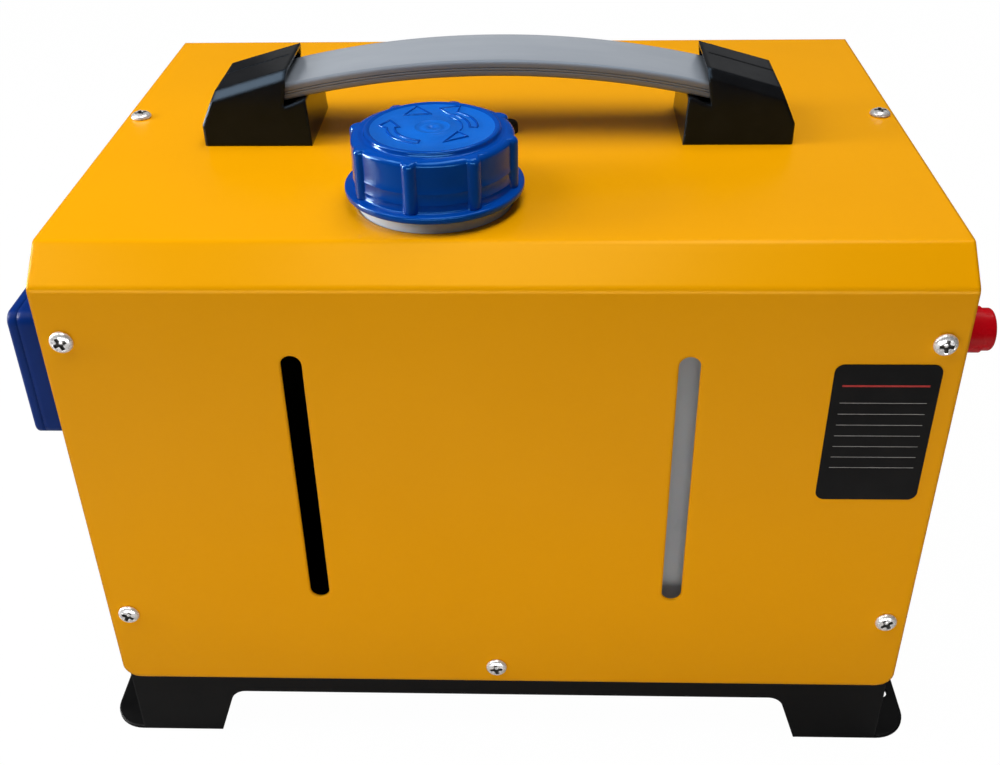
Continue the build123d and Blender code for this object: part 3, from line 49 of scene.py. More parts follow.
def noise(tree, scale, detail=3.0, rough=0.5, stretch=(1, 1, 1)):
    """Noise over the piece's own coordinates, in metres. Gives the node's factor output."""
    where = tree.nodes.new("ShaderNodeTexCoord")
    fit = tree.nodes.new("ShaderNodeMapping")
    fit.inputs["Scale"].default_value = stretch
    spots = tree.nodes.new("ShaderNodeTexNoise")
    spots.inputs["Scale"].default_value = scale
    spots.inputs["Detail"].default_value = detail
    spots.inputs["Roughness"].default_value = rough
    link(tree, where.outputs["Object"], fit.inputs["Vector"])
    link(tree, fit.outputs["Vector"], spots.inputs["Vector"])
    return spots.outputs["Fac"]


def spread(tree, value, low, high, start=0.3, end=0.7):
    """Maps a noise factor to a range of plain values."""
    node = tree.nodes.new("ShaderNodeMapRange")
    node.inputs["From Min"].default_value = start
    node.inputs["From Max"].default_value = end
    node.inputs["To Min"].default_value = low
    node.inputs["To Max"].default_value = high
    link(tree, value, node.inputs["Value"])
    return node.outputs["Result"]


def blend_colours(tree, value, first, second):
    """Two colours mixed by a factor."""
    node = tree.nodes.new("ShaderNodeMix")
    node.data_type = "RGBA"
    node.inputs["A"].default_value = (*first, 1)
    node.inputs["B"].default_value = (*second, 1)
    link(tree, value, node.inputs["Factor"])
    return node.outputs["Result"]


def surface(
    name,
    first,
    second,
    rough,
    metal=0.0,
    tone=18.0,
    grain=1500.0,
    height=0.01,
    stretch=(1, 1, 1),
    wear=None,
    edge=0.0,
    **sockets,
):
    """A principled material: two tones in soft clouds, uneven roughness and a fine surface grain.

    rough is (low, high). grain is in cells per metre and height is its depth in millimetres.
    wear, if given, is the colour that fine scuffs show. edge is the radius in millimetres that
    hard edges are shaded with.
    """
    material = bpy.data.materials.new(name)
    material.use_nodes = True
    tree = material.node_tree
    shader = tree.nodes["Principled BSDF"]
    shader.inputs["Metallic"].default_value = metal
    for socket, value in sockets.items():
        shader.inputs[socket.replace("_", " ")].default_value = value
    clouds = noise(tree, tone, detail=4.0, rough=0.55, stretch=stretch)
    colour = blend_colours(tree, spread(tree, clouds, 0, 1), first, second)
    if wear:
        scuffs = noise(tree, grain / 5, detail=6.0, rough=0.7)
        worn = tree.nodes.new("ShaderNodeMix")
        worn.data_type = "RGBA"
        worn.inputs["B"].default_value = (*wear, 1)
        shown = spread(tree, scuffs, 0, 0.5, start=0.62, end=0.75)
        link(tree, shown, worn.inputs["Factor"])
        link(tree, colour, worn.inputs["A"])
        colour = worn.outputs["Result"]
    link(tree, colour, shader.inputs["Base Color"])
    patches = noise(tree, tone * 4, detail=5.0, rough=0.6, stretch=stretch)
    link(tree, spread(tree, patches, *rough), shader.inputs["Roughness"])
    bump = tree.nodes.new("ShaderNodeBump")
    bump.inputs["Strength"].default_value = 1.0
    bump.inputs["Distance"].default_value = height * MM
    pores = noise(tree, grain, detail=2.0, stretch=stretch)
    link(tree, pores, bump.inputs["Height"])
    if edge:
        rounded = tree.nodes.new("ShaderNodeBevel")
        rounded.samples = 6
        rounded.inputs["Radius"].default_value = edge * MM
        link(tree, rounded.outputs["Normal"], bump.inputs["Normal"])
    link(tree, bump.outputs["Normal"], shader.inputs["Normal"])
    return material


yellow = surface(
    "yellow_paint", (0.88, 0.375, 0.0004), (0.90, 0.385, 0.0004), (0.22, 0.26),
    tone=9, grain=420, height=0.012, edge=2.2, Specular_IOR_Level=0.25,
    Specular_Tint=(1, 0.65, 0.12, 1),
)
black_paint = surface(
    "black_paint", (0.001, 0.001, 0.0012), (0.003, 0.003, 0.0033), (0.34, 0.5),
    grain=1700, height=0.02, wear=(0.010, 0.010, 0.010), edge=1.5, Specular_IOR_Level=0.18,
)
blue = surface(
    "blue_plastic", (0.0008, 0.058, 0.36), (0.0015, 0.07, 0.42), (0.1, 0.17),
    tone=40, grain=900, height=0.01, Specular_IOR_Level=0.4, Specular_Tint=(0.15, 0.55, 1.0, 1),
)
# A lighter copy of the cap's blue for the top disc: painted light on the face that looks up at
# the lamps. Its rougher finish is the disc's own.
blue_disc_painted_light = surface(
    "blue_disc_painted_light", (0.002, 0.115, 0.55), (0.004, 0.135, 0.61), (0.32, 0.42),
    tone=60, grain=1700, height=0.02, Specular_Tint=(0.2, 0.45, 1.0, 1),
)
controller_blue = surface(
    "controller_blue", (0.002, 0.024, 0.17), (0.003, 0.031, 0.21), (0.3, 0.42),
    tone=40, grain=1600, height=0.012, edge=3.0, Specular_IOR_Level=0.1,
)
red = surface(
    "red_plastic", (0.58, 0.001, 0.006), (0.66, 0.002, 0.009), (0.2, 0.3),
    tone=60, grain=1500, height=0.012, Specular_IOR_Level=0.2,
)
grip_grey = surface(
    "grip_grey", (0.20, 0.225, 0.26), (0.24, 0.265, 0.30), (0.28, 0.4),
    tone=20, grain=1300, height=0.012, stretch=(0.25, 1, 1), Specular_IOR_Level=0.3,
    Specular_Tint=(0.5, 0.7, 1.0, 1),
)
gloss_black = surface(
    "gloss_black", (0.006, 0.0065, 0.0075), (0.010, 0.0105, 0.0115), (0.12, 0.2),
    tone=50, grain=300, height=0.02, wear=(0.016, 0.016, 0.016), edge=2.8,
    Specular_IOR_Level=0.2, Specular_Tint=(0.45, 0.7, 1.0, 1),
)
satin_black = surface(
    "satin_black", (0.005, 0.005, 0.0055), (0.009, 0.009, 0.01), (0.38, 0.5),
    tone=50, grain=1800, height=0.02, Specular_IOR_Level=0.35,
)
shell_black = surface(
    "shell_black", (0.014, 0.014, 0.015), (0.022, 0.022, 0.023), (0.5, 0.62),
    tone=30, grain=1200, height=0.05,
)
rubber = surface(
    "rubber", (0.012, 0.012, 0.012), (0.02, 0.02, 0.02), (0.6, 0.75),
    tone=60, grain=2000, height=0.03, wear=(0.05, 0.05, 0.048),
)
button_rubber = surface(
    "button_rubber", (0.03, 0.03, 0.032), (0.045, 0.045, 0.047), (0.45, 0.6),
    tone=80, grain=2200, height=0.02,
)
milky = surface(
    "tank_plastic", (0.42, 0.47, 0.54), (0.49, 0.54, 0.60), (0.25, 0.38),
    tone=12, grain=500, height=0.03, Subsurface_Weight=0.15, Subsurface_Scale=0.004,
    Specular_IOR_Level=0.25,
)
clear_plastic = surface(
    "filter_plastic", (0.70, 0.70, 0.66), (0.78, 0.77, 0.72), (0.12, 0.22),
    tone=60, grain=900, height=0.01, Transmission_Weight=0.6, IOR=1.45,
)
nickel = surface(
    "nickel_plate", (0.80, 0.80, 0.81), (0.86, 0.86, 0.87), (0.22, 0.32),
    metal=0.5, tone=120, grain=2500, height=0.004,
)
# Painted shade for the walls of the screws' cross recesses.
recess_painted_shade = surface(
    "recess_painted_shade", (0.05, 0.048, 0.045), (0.09, 0.087, 0.082), (0.4, 0.55),
    metal=0.8, tone=300, grain=2500, height=0.02,
)
zinc = surface(
    "zinc_steel", (0.52, 0.53, 0.55), (0.63, 0.64, 0.66), (0.28, 0.45),
    metal=1.0, tone=90, grain=1400, height=0.01,
)
steel = surface(
    "bright_steel", (0.55, 0.55, 0.56), (0.66, 0.66, 0.67), (0.2, 0.34),
    metal=1.0, tone=40, grain=1500, height=0.01, stretch=(1, 1, 8),
)
heat_steel = surface(
    "heat_steel", (0.34, 0.31, 0.28), (0.52, 0.49, 0.45), (0.3, 0.5),
    metal=1.0, tone=35, grain=1200, height=0.02,
)
motor_paint = surface(
    "motor_paint", (0.04, 0.04, 0.043), (0.06, 0.06, 0.064), (0.3, 0.42),
    tone=60, grain=1500, height=0.015,
)
cast = surface(
    "cast_aluminium", (0.52, 0.53, 0.54), (0.66, 0.67, 0.68), (0.4, 0.6),
    metal=1.0, tone=45, grain=700, height=0.09,
)
brass = surface(
    "brass", (0.68, 0.46, 0.16), (0.80, 0.58, 0.24), (0.2, 0.36),
    metal=1.0, tone=90, grain=1800, height=0.01,
)
board_green = surface(
    "board_green", (0.004, 0.075, 0.028), (0.008, 0.11, 0.04), (0.25, 0.4),
    tone=120, grain=600, height=0.03,
)
display = surface(
    "display_glass", (0.010, 0.013, 0.014), (0.014, 0.018, 0.02), (0.04, 0.09),
    tone=30, grain=300, height=0.002, Coat_Weight=1.0, Coat_Roughness=0.02,
)
label_black = surface(
    "label_film", (0.0035, 0.0035, 0.004), (0.006, 0.006, 0.0065), (0.28, 0.36),
    tone=70, grain=800, height=0.008, Specular_IOR_Level=0.2,
)
label_red = surface("label_red", (0.42, 0.01, 0.01), (0.5, 0.015, 0.012), (0.3, 0.4), tone=200)
label_grey = surface("label_grey", (0.3, 0.3, 0.3), (0.4, 0.4, 0.4), (0.3, 0.4), tone=200)

finishes = {
    yellow: ["top_cover"],
    black_paint: ["foot_frame", "floor_pan", "left_side_panel", "right_side_panel"],
    zinc: ["tank_partition", "handle_strap", "overheat_sensor", "hose_clips"],
    nickel: ["cover_screws", "handle_bolts", "heater_bolts"],
    label_black: ["rating_label"],
    rubber: ["cap_seal", "pump_mount", "feed_hoses", "heater_hose", "base_gasket"],
    satin_black: ["vent_plug", "outlet_duct", "outlet_vent_ring", "outlet_louvre"],
    grip_grey: ["handle_grip"],
    gloss_black: [
        "handle_end_left",
        "handle_end_right",
        "positive_post_base",
        "negative_post_base",
        "negative_post_nut",
    ],
    milky: ["fuel_tank"],
    blue: ["filler_cap"],
    controller_blue: ["controller_back_shell", "controller_front_shell"],
    brass: ["fuel_outlet", "positive_post_washer", "negative_post_washer", "post_studs"],
    clear_plastic: ["fuel_filter"],
    steel: ["pump_body", "pump_plunger", "glow_plug", "motor_shaft"],
    heat_steel: ["burner_tube", "exhaust_stub", "combustion_air_stub"],
    shell_black: [
        "heater_lower_shell",
        "heater_upper_shell",
        "intake_cap",
        "combustion_impeller",
        "heating_fan",
    ],
    cast: ["heat_exchanger", "blower_housing"],
    motor_paint: ["blower_motor"],
    board_green: ["control_board", "controller_board"],
    display: ["controller_window"],
    button_rubber: ["button_power", "button_mode", "button_down", "button_up"],
    red: ["positive_post_nut"],
}
for material, names in finishes.items():
    for name in names:
        mesh = nodes[name].data
        mesh.materials.clear()
        mesh.materials.append(material)


# ------------------------------------------------------------------ shaping helpers
WELD_GAP = 1e-4


def skin(mesh, rows):
    """Quads between neighbouring closed rows of points of the same length. Gives the rows."""
    lines = [[mesh.verts.new(point) for point in row] for row in rows]
    for lower, upper in zip(lines, lines[1:]):
        count = len(lower)
        for i in range(count):
            j = (i + 1) % count
            mesh.faces.new((lower[i], lower[j], upper[j], upper[i]))
    return lines


def close_row(mesh, row, centre):
    """A fan from a closed row of vertices to one point."""
    hub = mesh.verts.new(centre)
    for i, vertex in enumerate(row):
        mesh.faces.new((vertex, row[(i + 1) % len(row)], hub))


def ring(radius, height, count):
    """A level circle of points round the local Z axis."""
    turns = [2 * pi * i / count for i in range(count)]
    return [(radius * cos(a), radius * sin(a), height) for a in turns]


def plateau(mesh, outline, low, high, draft):
    """A raised flat patch with sloping sides over an outline of (x, y) points."""
    middle_x = sum(x for x, _ in outline) / len(outline)
    middle_y = sum(y for _, y in outline) / len(outline)
    reach = max(sqrt((x - middle_x) ** 2 + (y - middle_y) ** 2) for x, y in outline)
    shrink = 1 - draft / reach
    top = [
        (middle_x + (x - middle_x) * shrink, middle_y + (y - middle_y) * shrink, high)
        for x, y in outline
    ]
    rows = skin(mesh, [[(x, y, low) for x, y in outline], top])
    mesh.faces.new(rows[0])
    mesh.faces.new(rows[-1])


RIDGE = ((-0.5, 0), (-0.42, 0.5), (-0.22, 0.9), (0, 1), (0.22, 0.9), (0.42, 0.5), (0.5, 0))


def ridge(mesh, path, width, low, high, closed=False):
    """A raised rib of even width with a rounded back along a path of (x, y) points."""
    rows = []
    count = len(path)
    for i, (x, y) in enumerate(path):
        before = path[(i - 1) % count] if closed or i else path[i]
        after = path[(i + 1) % count] if closed or i < count - 1 else path[i]
        run = Vector((after[0] - before[0], after[1] - before[1])).normalized()
        side = Vector((-run.y, run.x))
        row = []
        for reach, rise in RIDGE:
            height = low + rise * (high - low)
            row.append((x + side.x * reach * width, y + side.y * reach * width, height))
        rows.append(row)
    lines = skin(mesh, rows + rows[:1] if closed else rows)
    if not closed:
        mesh.faces.new(lines[0])
        mesh.faces.new(lines[-1])


def piece(name, mesh, material, body, slot, *replaced, place=None, sharp=38):
    """Turns a shape in millimetres into a piece that rides on a body and stands for CAD nodes."""
    bmesh.ops.remove_doubles(mesh, verts=mesh.verts, dist=WELD_GAP)
    bmesh.ops.recalc_face_normals(mesh, faces=mesh.faces)
    data = bpy.data.meshes.new(name)
    mesh.to_mesh(data)
    mesh.free()
    data.transform(Matrix.Scale(MM, 4) @ (place or Matrix.Identity(4)))
    data.shade_smooth()
    data.set_sharp_from_angle(angle=radians(sharp))
    data.materials.append(material)
    made = bpy.data.objects.new(name, data)
    scene.collection.objects.link(made)
    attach(made, body)
    if replaced:
        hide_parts(*replaced)
    return made


# ------------------------------------------------------------------ filler cap
# Sizes are in millimetres, and heights are from the cap's lower rim.
CAP_PLACE = (-28.1, -80.3, 280.4)
CAP_STEPS = 480
CAP_BORE = 32.3
CAP_ROOF = 23.1
CAP_BODY = 34.4
BORE_EDGE = 0.6
FLANGE = 38.4
FLANGE_TOP = 3.0
FLANGE_FOOT = 0.7
FLANGE_EDGE = 0.9
# (radius, height, the ribs' inset) where the flange runs into the body
FLANGE_FILLET = ((35.2, 3.0, 0.4), (34.65, 3.15, 0.1), (34.4, 3.7, 0))
# two fine raised lines round the body, as (rise, swell) from each line's level
BEAD_LEVELS = (6.7, 11.4)
BEAD_PROFILE = ((-0.3, 0), (-0.1, 0.08), (0.1, 0.08), (0.3, 0))
BODY_LEVELS = (15, 19, 22.3)
SHOULDER = 22.5
SHOULDER_EDGE = 2.5
SHOULDER_ANGLES = (0.2, 0.4, 0.6, 0.8, 1.0, 1.2, 1.35, 1.5)
RIB_COUNT = 8
RIB_PHASE = 33.0
RIB_CENTRE = 33.4
RIB_RADIUS = 3.2
RIB_EDGE = 2.4
# (radius, height) from the shoulder down into the seam round the disc, and up again
SEAM = ((32.0, 25.05), (30.6, 25.05), (29.7, 24.7), (29.1, 24.75), (28.7, 25.2))
RIM = 28.7
RIM_LEVEL = 26.2
RIM_EDGE = 0.9
# (radius, height) from the disc's rim to the dimple in its middle
DISC = (
    (27.0, 27.05), (26.2, 26.5), (7.9, 26.5), (7.6, 26.75), (7.2, 26.75), (6.9, 26.5),
    (6.3, 26.5), (6.0, 26.3), (4.2, 26.3), (3.9, 26.6), (1.6, 26.6), (1.1, 25.9),
)
DIMPLE = 25.7
# the disc's lighter blue, painted light, is used inside this radius and above this height
DISC_RADIUS = 26.3
DISC_LOW = 25
# angles in radians at which a rounded edge has its points
ROUNDING = (0, 0.5, 1.0, 1.57)


def cap_row(radius, height, inset=None):
    """One row of the cap's skin. Its ribs draw back by inset, and None leaves them out."""
    row = []
    for i in range(CAP_STEPS):
        angle = 2 * pi * i / CAP_STEPS
        pitch = 2 * pi / RIB_COUNT
        off = (angle - radians(RIB_PHASE) + pitch / 2) % pitch - pitch / 2
        reach = radius
        across = RIB_CENTRE * sin(off)
        if inset is not None and abs(across) < RIB_RADIUS:
            crest = RIB_CENTRE * cos(off) + sqrt(RIB_RADIUS**2 - across**2)
            reach = max(reach, crest - inset)
        row.append((reach * cos(angle), reach * sin(angle), height))
    return row


rows = [cap_row(CAP_BORE, CAP_ROOF), cap_row(CAP_BORE, BORE_EDGE)]
rows += [cap_row(CAP_BORE + BORE_EDGE, 0), cap_row(FLANGE - FLANGE_FOOT, 0)]
for a in ROUNDING[1:]:
    rows.append(cap_row(FLANGE - FLANGE_FOOT * (1 - sin(a)), FLANGE_FOOT * (1 - cos(a))))
for a in ROUNDING:
    level = FLANGE_TOP - FLANGE_EDGE * (1 - sin(a))
    rows.append(cap_row(FLANGE - FLANGE_EDGE * (1 - cos(a)), level))
rows += [cap_row(radius, level, inset) for radius, level, inset in FLANGE_FILLET]
for level in BEAD_LEVELS:
    rows += [cap_row(CAP_BODY + swell, level + rise, 0) for rise, swell in BEAD_PROFILE]
rows += [cap_row(CAP_BODY, level, 0) for level in BODY_LEVELS]
for a in SHOULDER_ANGLES:
    inward = 1 - cos(a)
    level = SHOULDER + SHOULDER_EDGE * sin(a)
    rows.append(cap_row(CAP_BODY - SHOULDER_EDGE * inward, level, RIB_EDGE * inward))
rows += [cap_row(radius, level) for radius, level in SEAM]
rows += [cap_row(RIM - RIM_EDGE * (1 - cos(a)), RIM_LEVEL + RIM_EDGE * sin(a)) for a in ROUNDING]
rows += [cap_row(radius, level) for radius, level in DISC]
shape = bmesh.new()
lines = skin(shape, rows)
close_row(shape, lines[-1], (0, 0, DIMPLE))
close_row(shape, lines[0], (0, 0, CAP_ROOF))
# The top disc's faces take the lighter blue, painted light.
for face in shape.faces:
    middle = face.calc_center_median()
    if middle.xy.length < DISC_RADIUS and middle.z > DISC_LOW:
        face.material_index = 1


def arc(radius, start, end, step=4.0):
    """Points on an arc round the cap's axis, from one angle to another in degrees."""
    count = max(2, round(abs(end - start) / step))
    turns = [radians(start + (end - start) * i / count) for i in range(count + 1)]
    return [(radius * cos(a), radius * sin(a)) for a in turns]


ARROW_OUTER = 18.8
ARROW_INNER = 15.6


def turn_arrow(tail, head, corners, tip):
    """The outline of a curved arrow: its two arcs, then the head's corners and tip."""
    outer, inner = corners
    return arc(ARROW_OUTER, tail, head) + [outer, tip, inner] + arc(ARROW_INNER, head, tail)


# Raised marks on the disc: two turning arrows, two triangles and a fine arc.
MARK_LOW = 26.4
MARK_HIGH = 27.08
MARK_WIDTH = 1.15
ARC_RADIUS = 12.6
ARC_WIDTH = 0.6
ARC_HIGH = 26.88
marks = [
    turn_arrow(-105, -176, ((-22.3, 1.2), (-13.6, -0.7)), (-18.3, 7.4)),
    turn_arrow(-3, 60, ((10.4, 23.8), (6.6, 13.9)), (1.7, 20.6)),
    [(-8.5, 23.5), (-1.7, 14.4), (-13, 13)],
    [(10.9, -5.6), (15.4, -10.8), (5.9, -16.8)],
]
for outline in marks:
    ridge(shape, outline, MARK_WIDTH, MARK_LOW, MARK_HIGH, closed=True)
ridge(shape, arc(ARC_RADIUS, -20, 60), ARC_WIDTH, MARK_LOW, ARC_HIGH)
place = Matrix.Translation(CAP_PLACE)
cap = piece(
    "cap_shell", shape, blue, "filler_cap", "blue_plastic", "filler_cap", place=place, sharp=55
)
cap.data.materials.append(blue_disc_painted_light)

# ------------------------------------------------------------------ handle grip
MID_X = -3.8
HANDLE_Y = 3.4
CASE_TOP = 274.5
GRIP_RISE = 39.0
GRIP_RADIUS = 450.0
GRIP_CENTRE = CASE_TOP + GRIP_RISE - GRIP_RADIUS
GRIP_HALF = 20.0
GRIP_DEEP = 7.5
GRIP_SPAN = 116.0
GRIP_CROWN = 0.12
CROWN_HALF = 16.8
CROWN_POINTS = (-11, -5, 0, 5, 11)
GRIP_STATIONS = 61
TOP_EDGE = 1.8
LOWER_EDGE = 1.1
PARTING_LINES = (3.4, 4.6)
LINE_HALF = 0.28
LINE_DEEP = 0.45
STRAP_HALF = 10.3
STRAP_TOP = 2.7
STRAP_FOOT = 4.8


def corner(across, deep, radius, start, end, steps=5):
    """Points on a rounded corner of the grip's section, as (across, depth) pairs."""
    turns = [radians(start + (end - start) * i / steps) for i in range(steps + 1)]
    return [(across + radius * cos(a), deep - radius * sin(a)) for a in turns]


def groove(side, depth):
    """A fine parting line on one side of the grip, as (across, depth) pairs going down."""
    wall = side * GRIP_HALF
    root = (wall - side * LINE_DEEP, depth)
    return [(wall, depth - LINE_HALF), root, (wall, depth + LINE_HALF)]


section = corner(GRIP_HALF - TOP_EDGE, TOP_EDGE, TOP_EDGE, 90, 0)
for depth in PARTING_LINES:
    section += groove(1, depth)
section += corner(GRIP_HALF - LOWER_EDGE, GRIP_DEEP - LOWER_EDGE, LOWER_EDGE, 0, -90, 3)
section += corner(LOWER_EDGE - GRIP_HALF, GRIP_DEEP - LOWER_EDGE, LOWER_EDGE, -90, -180, 3)
for depth in PARTING_LINES[::-1]:
    section += groove(-1, depth)[::-1]
section += corner(TOP_EDGE - GRIP_HALF, TOP_EDGE, TOP_EDGE, 180, 90)
section += [(across, GRIP_CROWN * (across / CROWN_HALF) ** 2) for across in CROWN_POINTS]
bore = [(-STRAP_HALF, STRAP_TOP), (STRAP_HALF, STRAP_TOP)]
bore += [(STRAP_HALF, STRAP_FOOT), (-STRAP_HALF, STRAP_FOOT)]


def along(across, deep, x):
    """A point of the grip's arc."""
    radius = GRIP_RADIUS - deep
    return (MID_X + x, HANDLE_Y + across, GRIP_CENTRE + sqrt(radius**2 - x**2))


half = GRIP_STATIONS // 2
stations = [GRIP_SPAN * (i / half - 1) for i in range(GRIP_STATIONS)]
shape = bmesh.new()
outer = skin(shape, [[along(a, d, x) for a, d in section] for x in stations])
inner = skin(shape, [[along(a, d, x) for a, d in bore] for x in stations])
for end in (0, -1):
    rims = [
        shape.edges.get((row[end][i], row[end][(i + 1) % len(row[end])]))
        for row in (outer, inner)
        for i in range(len(row[end]))
    ]
    bmesh.ops.bridge_loops(shape, edges=rims)
grip = piece("grip", shape, grip_grey, "case", "grey_plastic", "handle_grip", sharp=50)

# ------------------------------------------------------------------ cover screws
HEAD = 5.0
HEAD_EDGE = 0.55
HEAD_RISE = 2.35
DOME_STEPS = 9
NECK = 4.55
SHANK = 2.3
THREAD_ROOT = 2.1
THREAD_CREST = 2.5
THREAD_PITCH = 0.75
THREAD_TURNS = 9
THREAD_START = -6.9
SHANK_END = -7.5
TIP = 1.2
RECESS_ARM = 3.1
RECESS_HALF_WIDTH = 0.85
RECESS_CORE = 1.55
RECESS_MOUTH = 2.52
DOME_END = 2.9
SCREW_STEPS = 72
FIRST_TURN = 0.45
TURN_STEP = 1.1


def recess_row(scale, height, turn):
    """The outline of a cross recess at one level, turned about the screw's axis."""
    row = []
    for i in range(SCREW_STEPS):
        angle = 2 * pi * i / SCREW_STEPS
        off = (angle - turn + pi / 4) % (pi / 2) - pi / 4
        reach = min(RECESS_ARM / cos(off), RECESS_HALF_WIDTH / max(abs(sin(off)), 0.01))
        reach = max(reach, RECESS_CORE) * scale
        row.append((reach * cos(angle), reach * sin(angle), height))
    return row


def screw(mesh, place, turn):
    """A pan-head screw on a plane: domed head, cross recess and threaded shank."""
    rows = [ring(TIP, SHANK_END, SCREW_STEPS)]
    for i in range(THREAD_TURNS):
        level = THREAD_START + i * THREAD_PITCH
        rows.append(ring(THREAD_ROOT, level, SCREW_STEPS))
        rows.append(ring(THREAD_CREST, level + 0.35, SCREW_STEPS))
    rows += [ring(SHANK, 0, SCREW_STEPS), ring(NECK, 0, SCREW_STEPS)]
    rows.append(ring(HEAD, HEAD_EDGE, SCREW_STEPS))
    for i in range(1, DOME_STEPS):
        lift = i / DOME_STEPS * pi / 2
        radius = HEAD * cos(lift) ** 0.75
        if radius > DOME_END:
            rows.append(ring(radius, HEAD_EDGE + HEAD_RISE * sin(lift), SCREW_STEPS))
    rows += [recess_row(1.07, 2.66, turn), recess_row(1.0, RECESS_MOUTH, turn)]
    lines = skin(mesh, [[place @ Vector(point) for point in row] for row in rows])
    close_row(mesh, lines[0], place @ Vector((0, 0, SHANK_END)))
    # The recess: its walls carry painted shade, and its floor rises to a bright point.
    outside = len(mesh.faces)
    rows = [recess_row(1.0, RECESS_MOUTH, turn), recess_row(0.86, 1.3, turn)]
    rows.append(ring(0.9, 1.5, SCREW_STEPS))
    lines = skin(mesh, [[place @ Vector(point) for point in row] for row in rows])
    floor_start = len(mesh.faces)
    close_row(mesh, lines[-1], place @ Vector((0, 0, 2.1)))
    mesh.faces.ensure_lookup_table()
    for face in mesh.faces[outside:floor_start]:
        face.material_index = 1


# The screws' places on the front and the back as (x, z), and on the top.
FRONT_Y = -137
BACK_Y = 137
TOP_Y = 16
TOP_X = 183
spots = [(-180.5, 236.5), (180.5, 236.5), (-180.5, 83.0), (180.5, 83.0), (MID_X, 50.0)]
seats = [((x, FRONT_Y, z), (0, -1, 0)) for x, z in spots]
seats += [((x, BACK_Y, z), (0, 1, 0)) for x, z in spots]
seats += [((x, TOP_Y, CASE_TOP), (0, 0, 1)) for x in (-TOP_X, TOP_X)]
shape = bmesh.new()
for i, (spot, out) in enumerate(seats):
    facing = Vector(out).to_track_quat("Z", "Y").to_matrix().to_4x4()
    screw(shape, Matrix.Translation(spot) @ facing, FIRST_TURN + TURN_STEP * i)
screws = piece("screws", shape, nickel, "case", "screw_plate", "cover_screws", sharp=45)
# The second slot puts painted shade in the recesses.
screws.data.materials.append(recess_painted_shade)

# ------------------------------------------------------------------ label lines
LABEL_PLACE = (160, -137.29, 191.5)
HEADING_LEVEL = 24.2
HEADING_THICK = 0.9
RULE_HALF = 18
RULE_RISE = 0.03
RULE_DRAFT = 0.02
RULE_THICK = 0.25
RULE_COUNT = 7
RULE_TOP = 16.0
RULE_PITCH = 5.6


def label_line(name, level, thick, material):
    """A fine printed rule on the label, in millimetres from the label's middle."""
    shape = bmesh.new()
    low = (-RULE_HALF, level), (RULE_HALF, level)
    high = (RULE_HALF, level + thick), (-RULE_HALF, level + thick)
    plateau(shape, [*low, *high], 0, RULE_RISE, RULE_DRAFT)
    front = Matrix.Translation(LABEL_PLACE) @ Matrix.Rotation(pi / 2, 4, "X")
    piece(name, shape, material, "case", "label_film", place=front)


label_line("label_heading_rule", HEADING_LEVEL, HEADING_THICK, label_red)
for row in range(RULE_COUNT):
    level = RULE_TOP - RULE_PITCH * row
    label_line(f"label_rule_{row}", level, RULE_THICK, label_grey)


# ------------------------------------------------------------------ camera, light and floor
def camera_matrix(place, yaw, elevation, roll):
    """The photograph's view: a turn to the side, a look down and a roll, in degrees."""
    yaw, elevation, roll = radians(yaw), radians(elevation), radians(roll)
    ahead = Vector((sin(yaw) * cos(elevation), cos(yaw) * cos(elevation), -sin(elevation)))
    side = ahead.cross(Vector((0, 0, 1))).normalized()
    up = side.cross(ahead)
    right = side * cos(roll) + up * sin(roll)
    top = up * cos(roll) - side * sin(roll)
    turned = Matrix((right, top, -ahead)).transposed().to_4x4()
    return Matrix.Translation(place) @ turned


CAMERA_PLACE = (0.018085, -0.56304, 0.4971)
CAMERA_YAW = -2.366
CAMERA_ELEVATION = 33.297
CAMERA_ROLL = -1.076
lens = bpy.data.cameras.new("camera")
lens.sensor_fit = "HORIZONTAL"
lens.sensor_width = 36.0
lens.lens = 44.05
camera = bpy.data.objects.new("camera", lens)
camera.matrix_world = camera_matrix(
    Vector(CAMERA_PLACE), CAMERA_YAW, CAMERA_ELEVATION, CAMERA_ROLL
)
scene.collection.objects.link(camera)
scene.camera = camera


def soft_light(name, place, target, size, power, colour=(1, 1, 1)):
    """A rectangular studio light that faces a target."""
    data = bpy.data.lights.new(name, "AREA")
    data.shape = "RECTANGLE"
    data.size, data.size_y = size
    data.energy = power
    data.color = colour
    lamp = bpy.data.objects.new(name, data)
    lamp.location = place
    lamp.rotation_euler = (Vector(target) - Vector(place)).to_track_quat("-Z", "Y").to_euler()
    scene.collection.objects.link(lamp)
    return lamp


# Lights that everything takes, except where limit() says otherwise.
soft_light("key_light", (-1.0, -0.3, 1.4), (0, 0, 0.25), (1.2, 0.6), 8)
soft_light("top_light", (0.15, -0.08, 1.6), (0, 0, 0.25), (1.5, 0.5), 15.5)
soft_light("side_light", (-1.1, -0.15, 0.66), (0, 0, 0.28), (0.35, 0.35), 7)
back = soft_light("back_light", (0.2, 1.5, 0.9), (0, 0.1, 0.15), (1.6, 0.8), 4)
back.visible_glossy = False
bounce = soft_light(
    "floor_bounce", (0.0, -0.34, 0.01), (0, -0.2, 0.3), (1.0, 0.3), 1.9, (1.0, 0.92, 0.82)
)
bounce.visible_camera = False
bounce.visible_glossy = False


def limit(lamp, state, *receivers):
    """Lights only the given objects (INCLUDE), or all but them (EXCLUDE)."""
    group = bpy.data.collections.new(f"{lamp.name}_receivers")
    for thing in receivers:
        group.objects.link(thing)
    for member in group.collection_objects:
        member.light_linking.link_state = state
    lamp.light_linking.receiver_collection = group


limit(bounce, "EXCLUDE", cap, grip)

# Lights for the tank alone, at its neck and behind the sight slot.
neck_light = soft_light("neck_light", (-1.1, -0.15, 0.45), (0, -0.08, 0.28), (0.35, 0.35), 10)
slot_fill = soft_light("slot_fill", (0.1, -1.1, 1.0), (0.1, -0.12, 0.17), (0.4, 0.4), 0.8)
for lamp in (neck_light, slot_fill):
    lamp.visible_glossy = False
    limit(lamp, "INCLUDE", nodes["fuel_tank"])

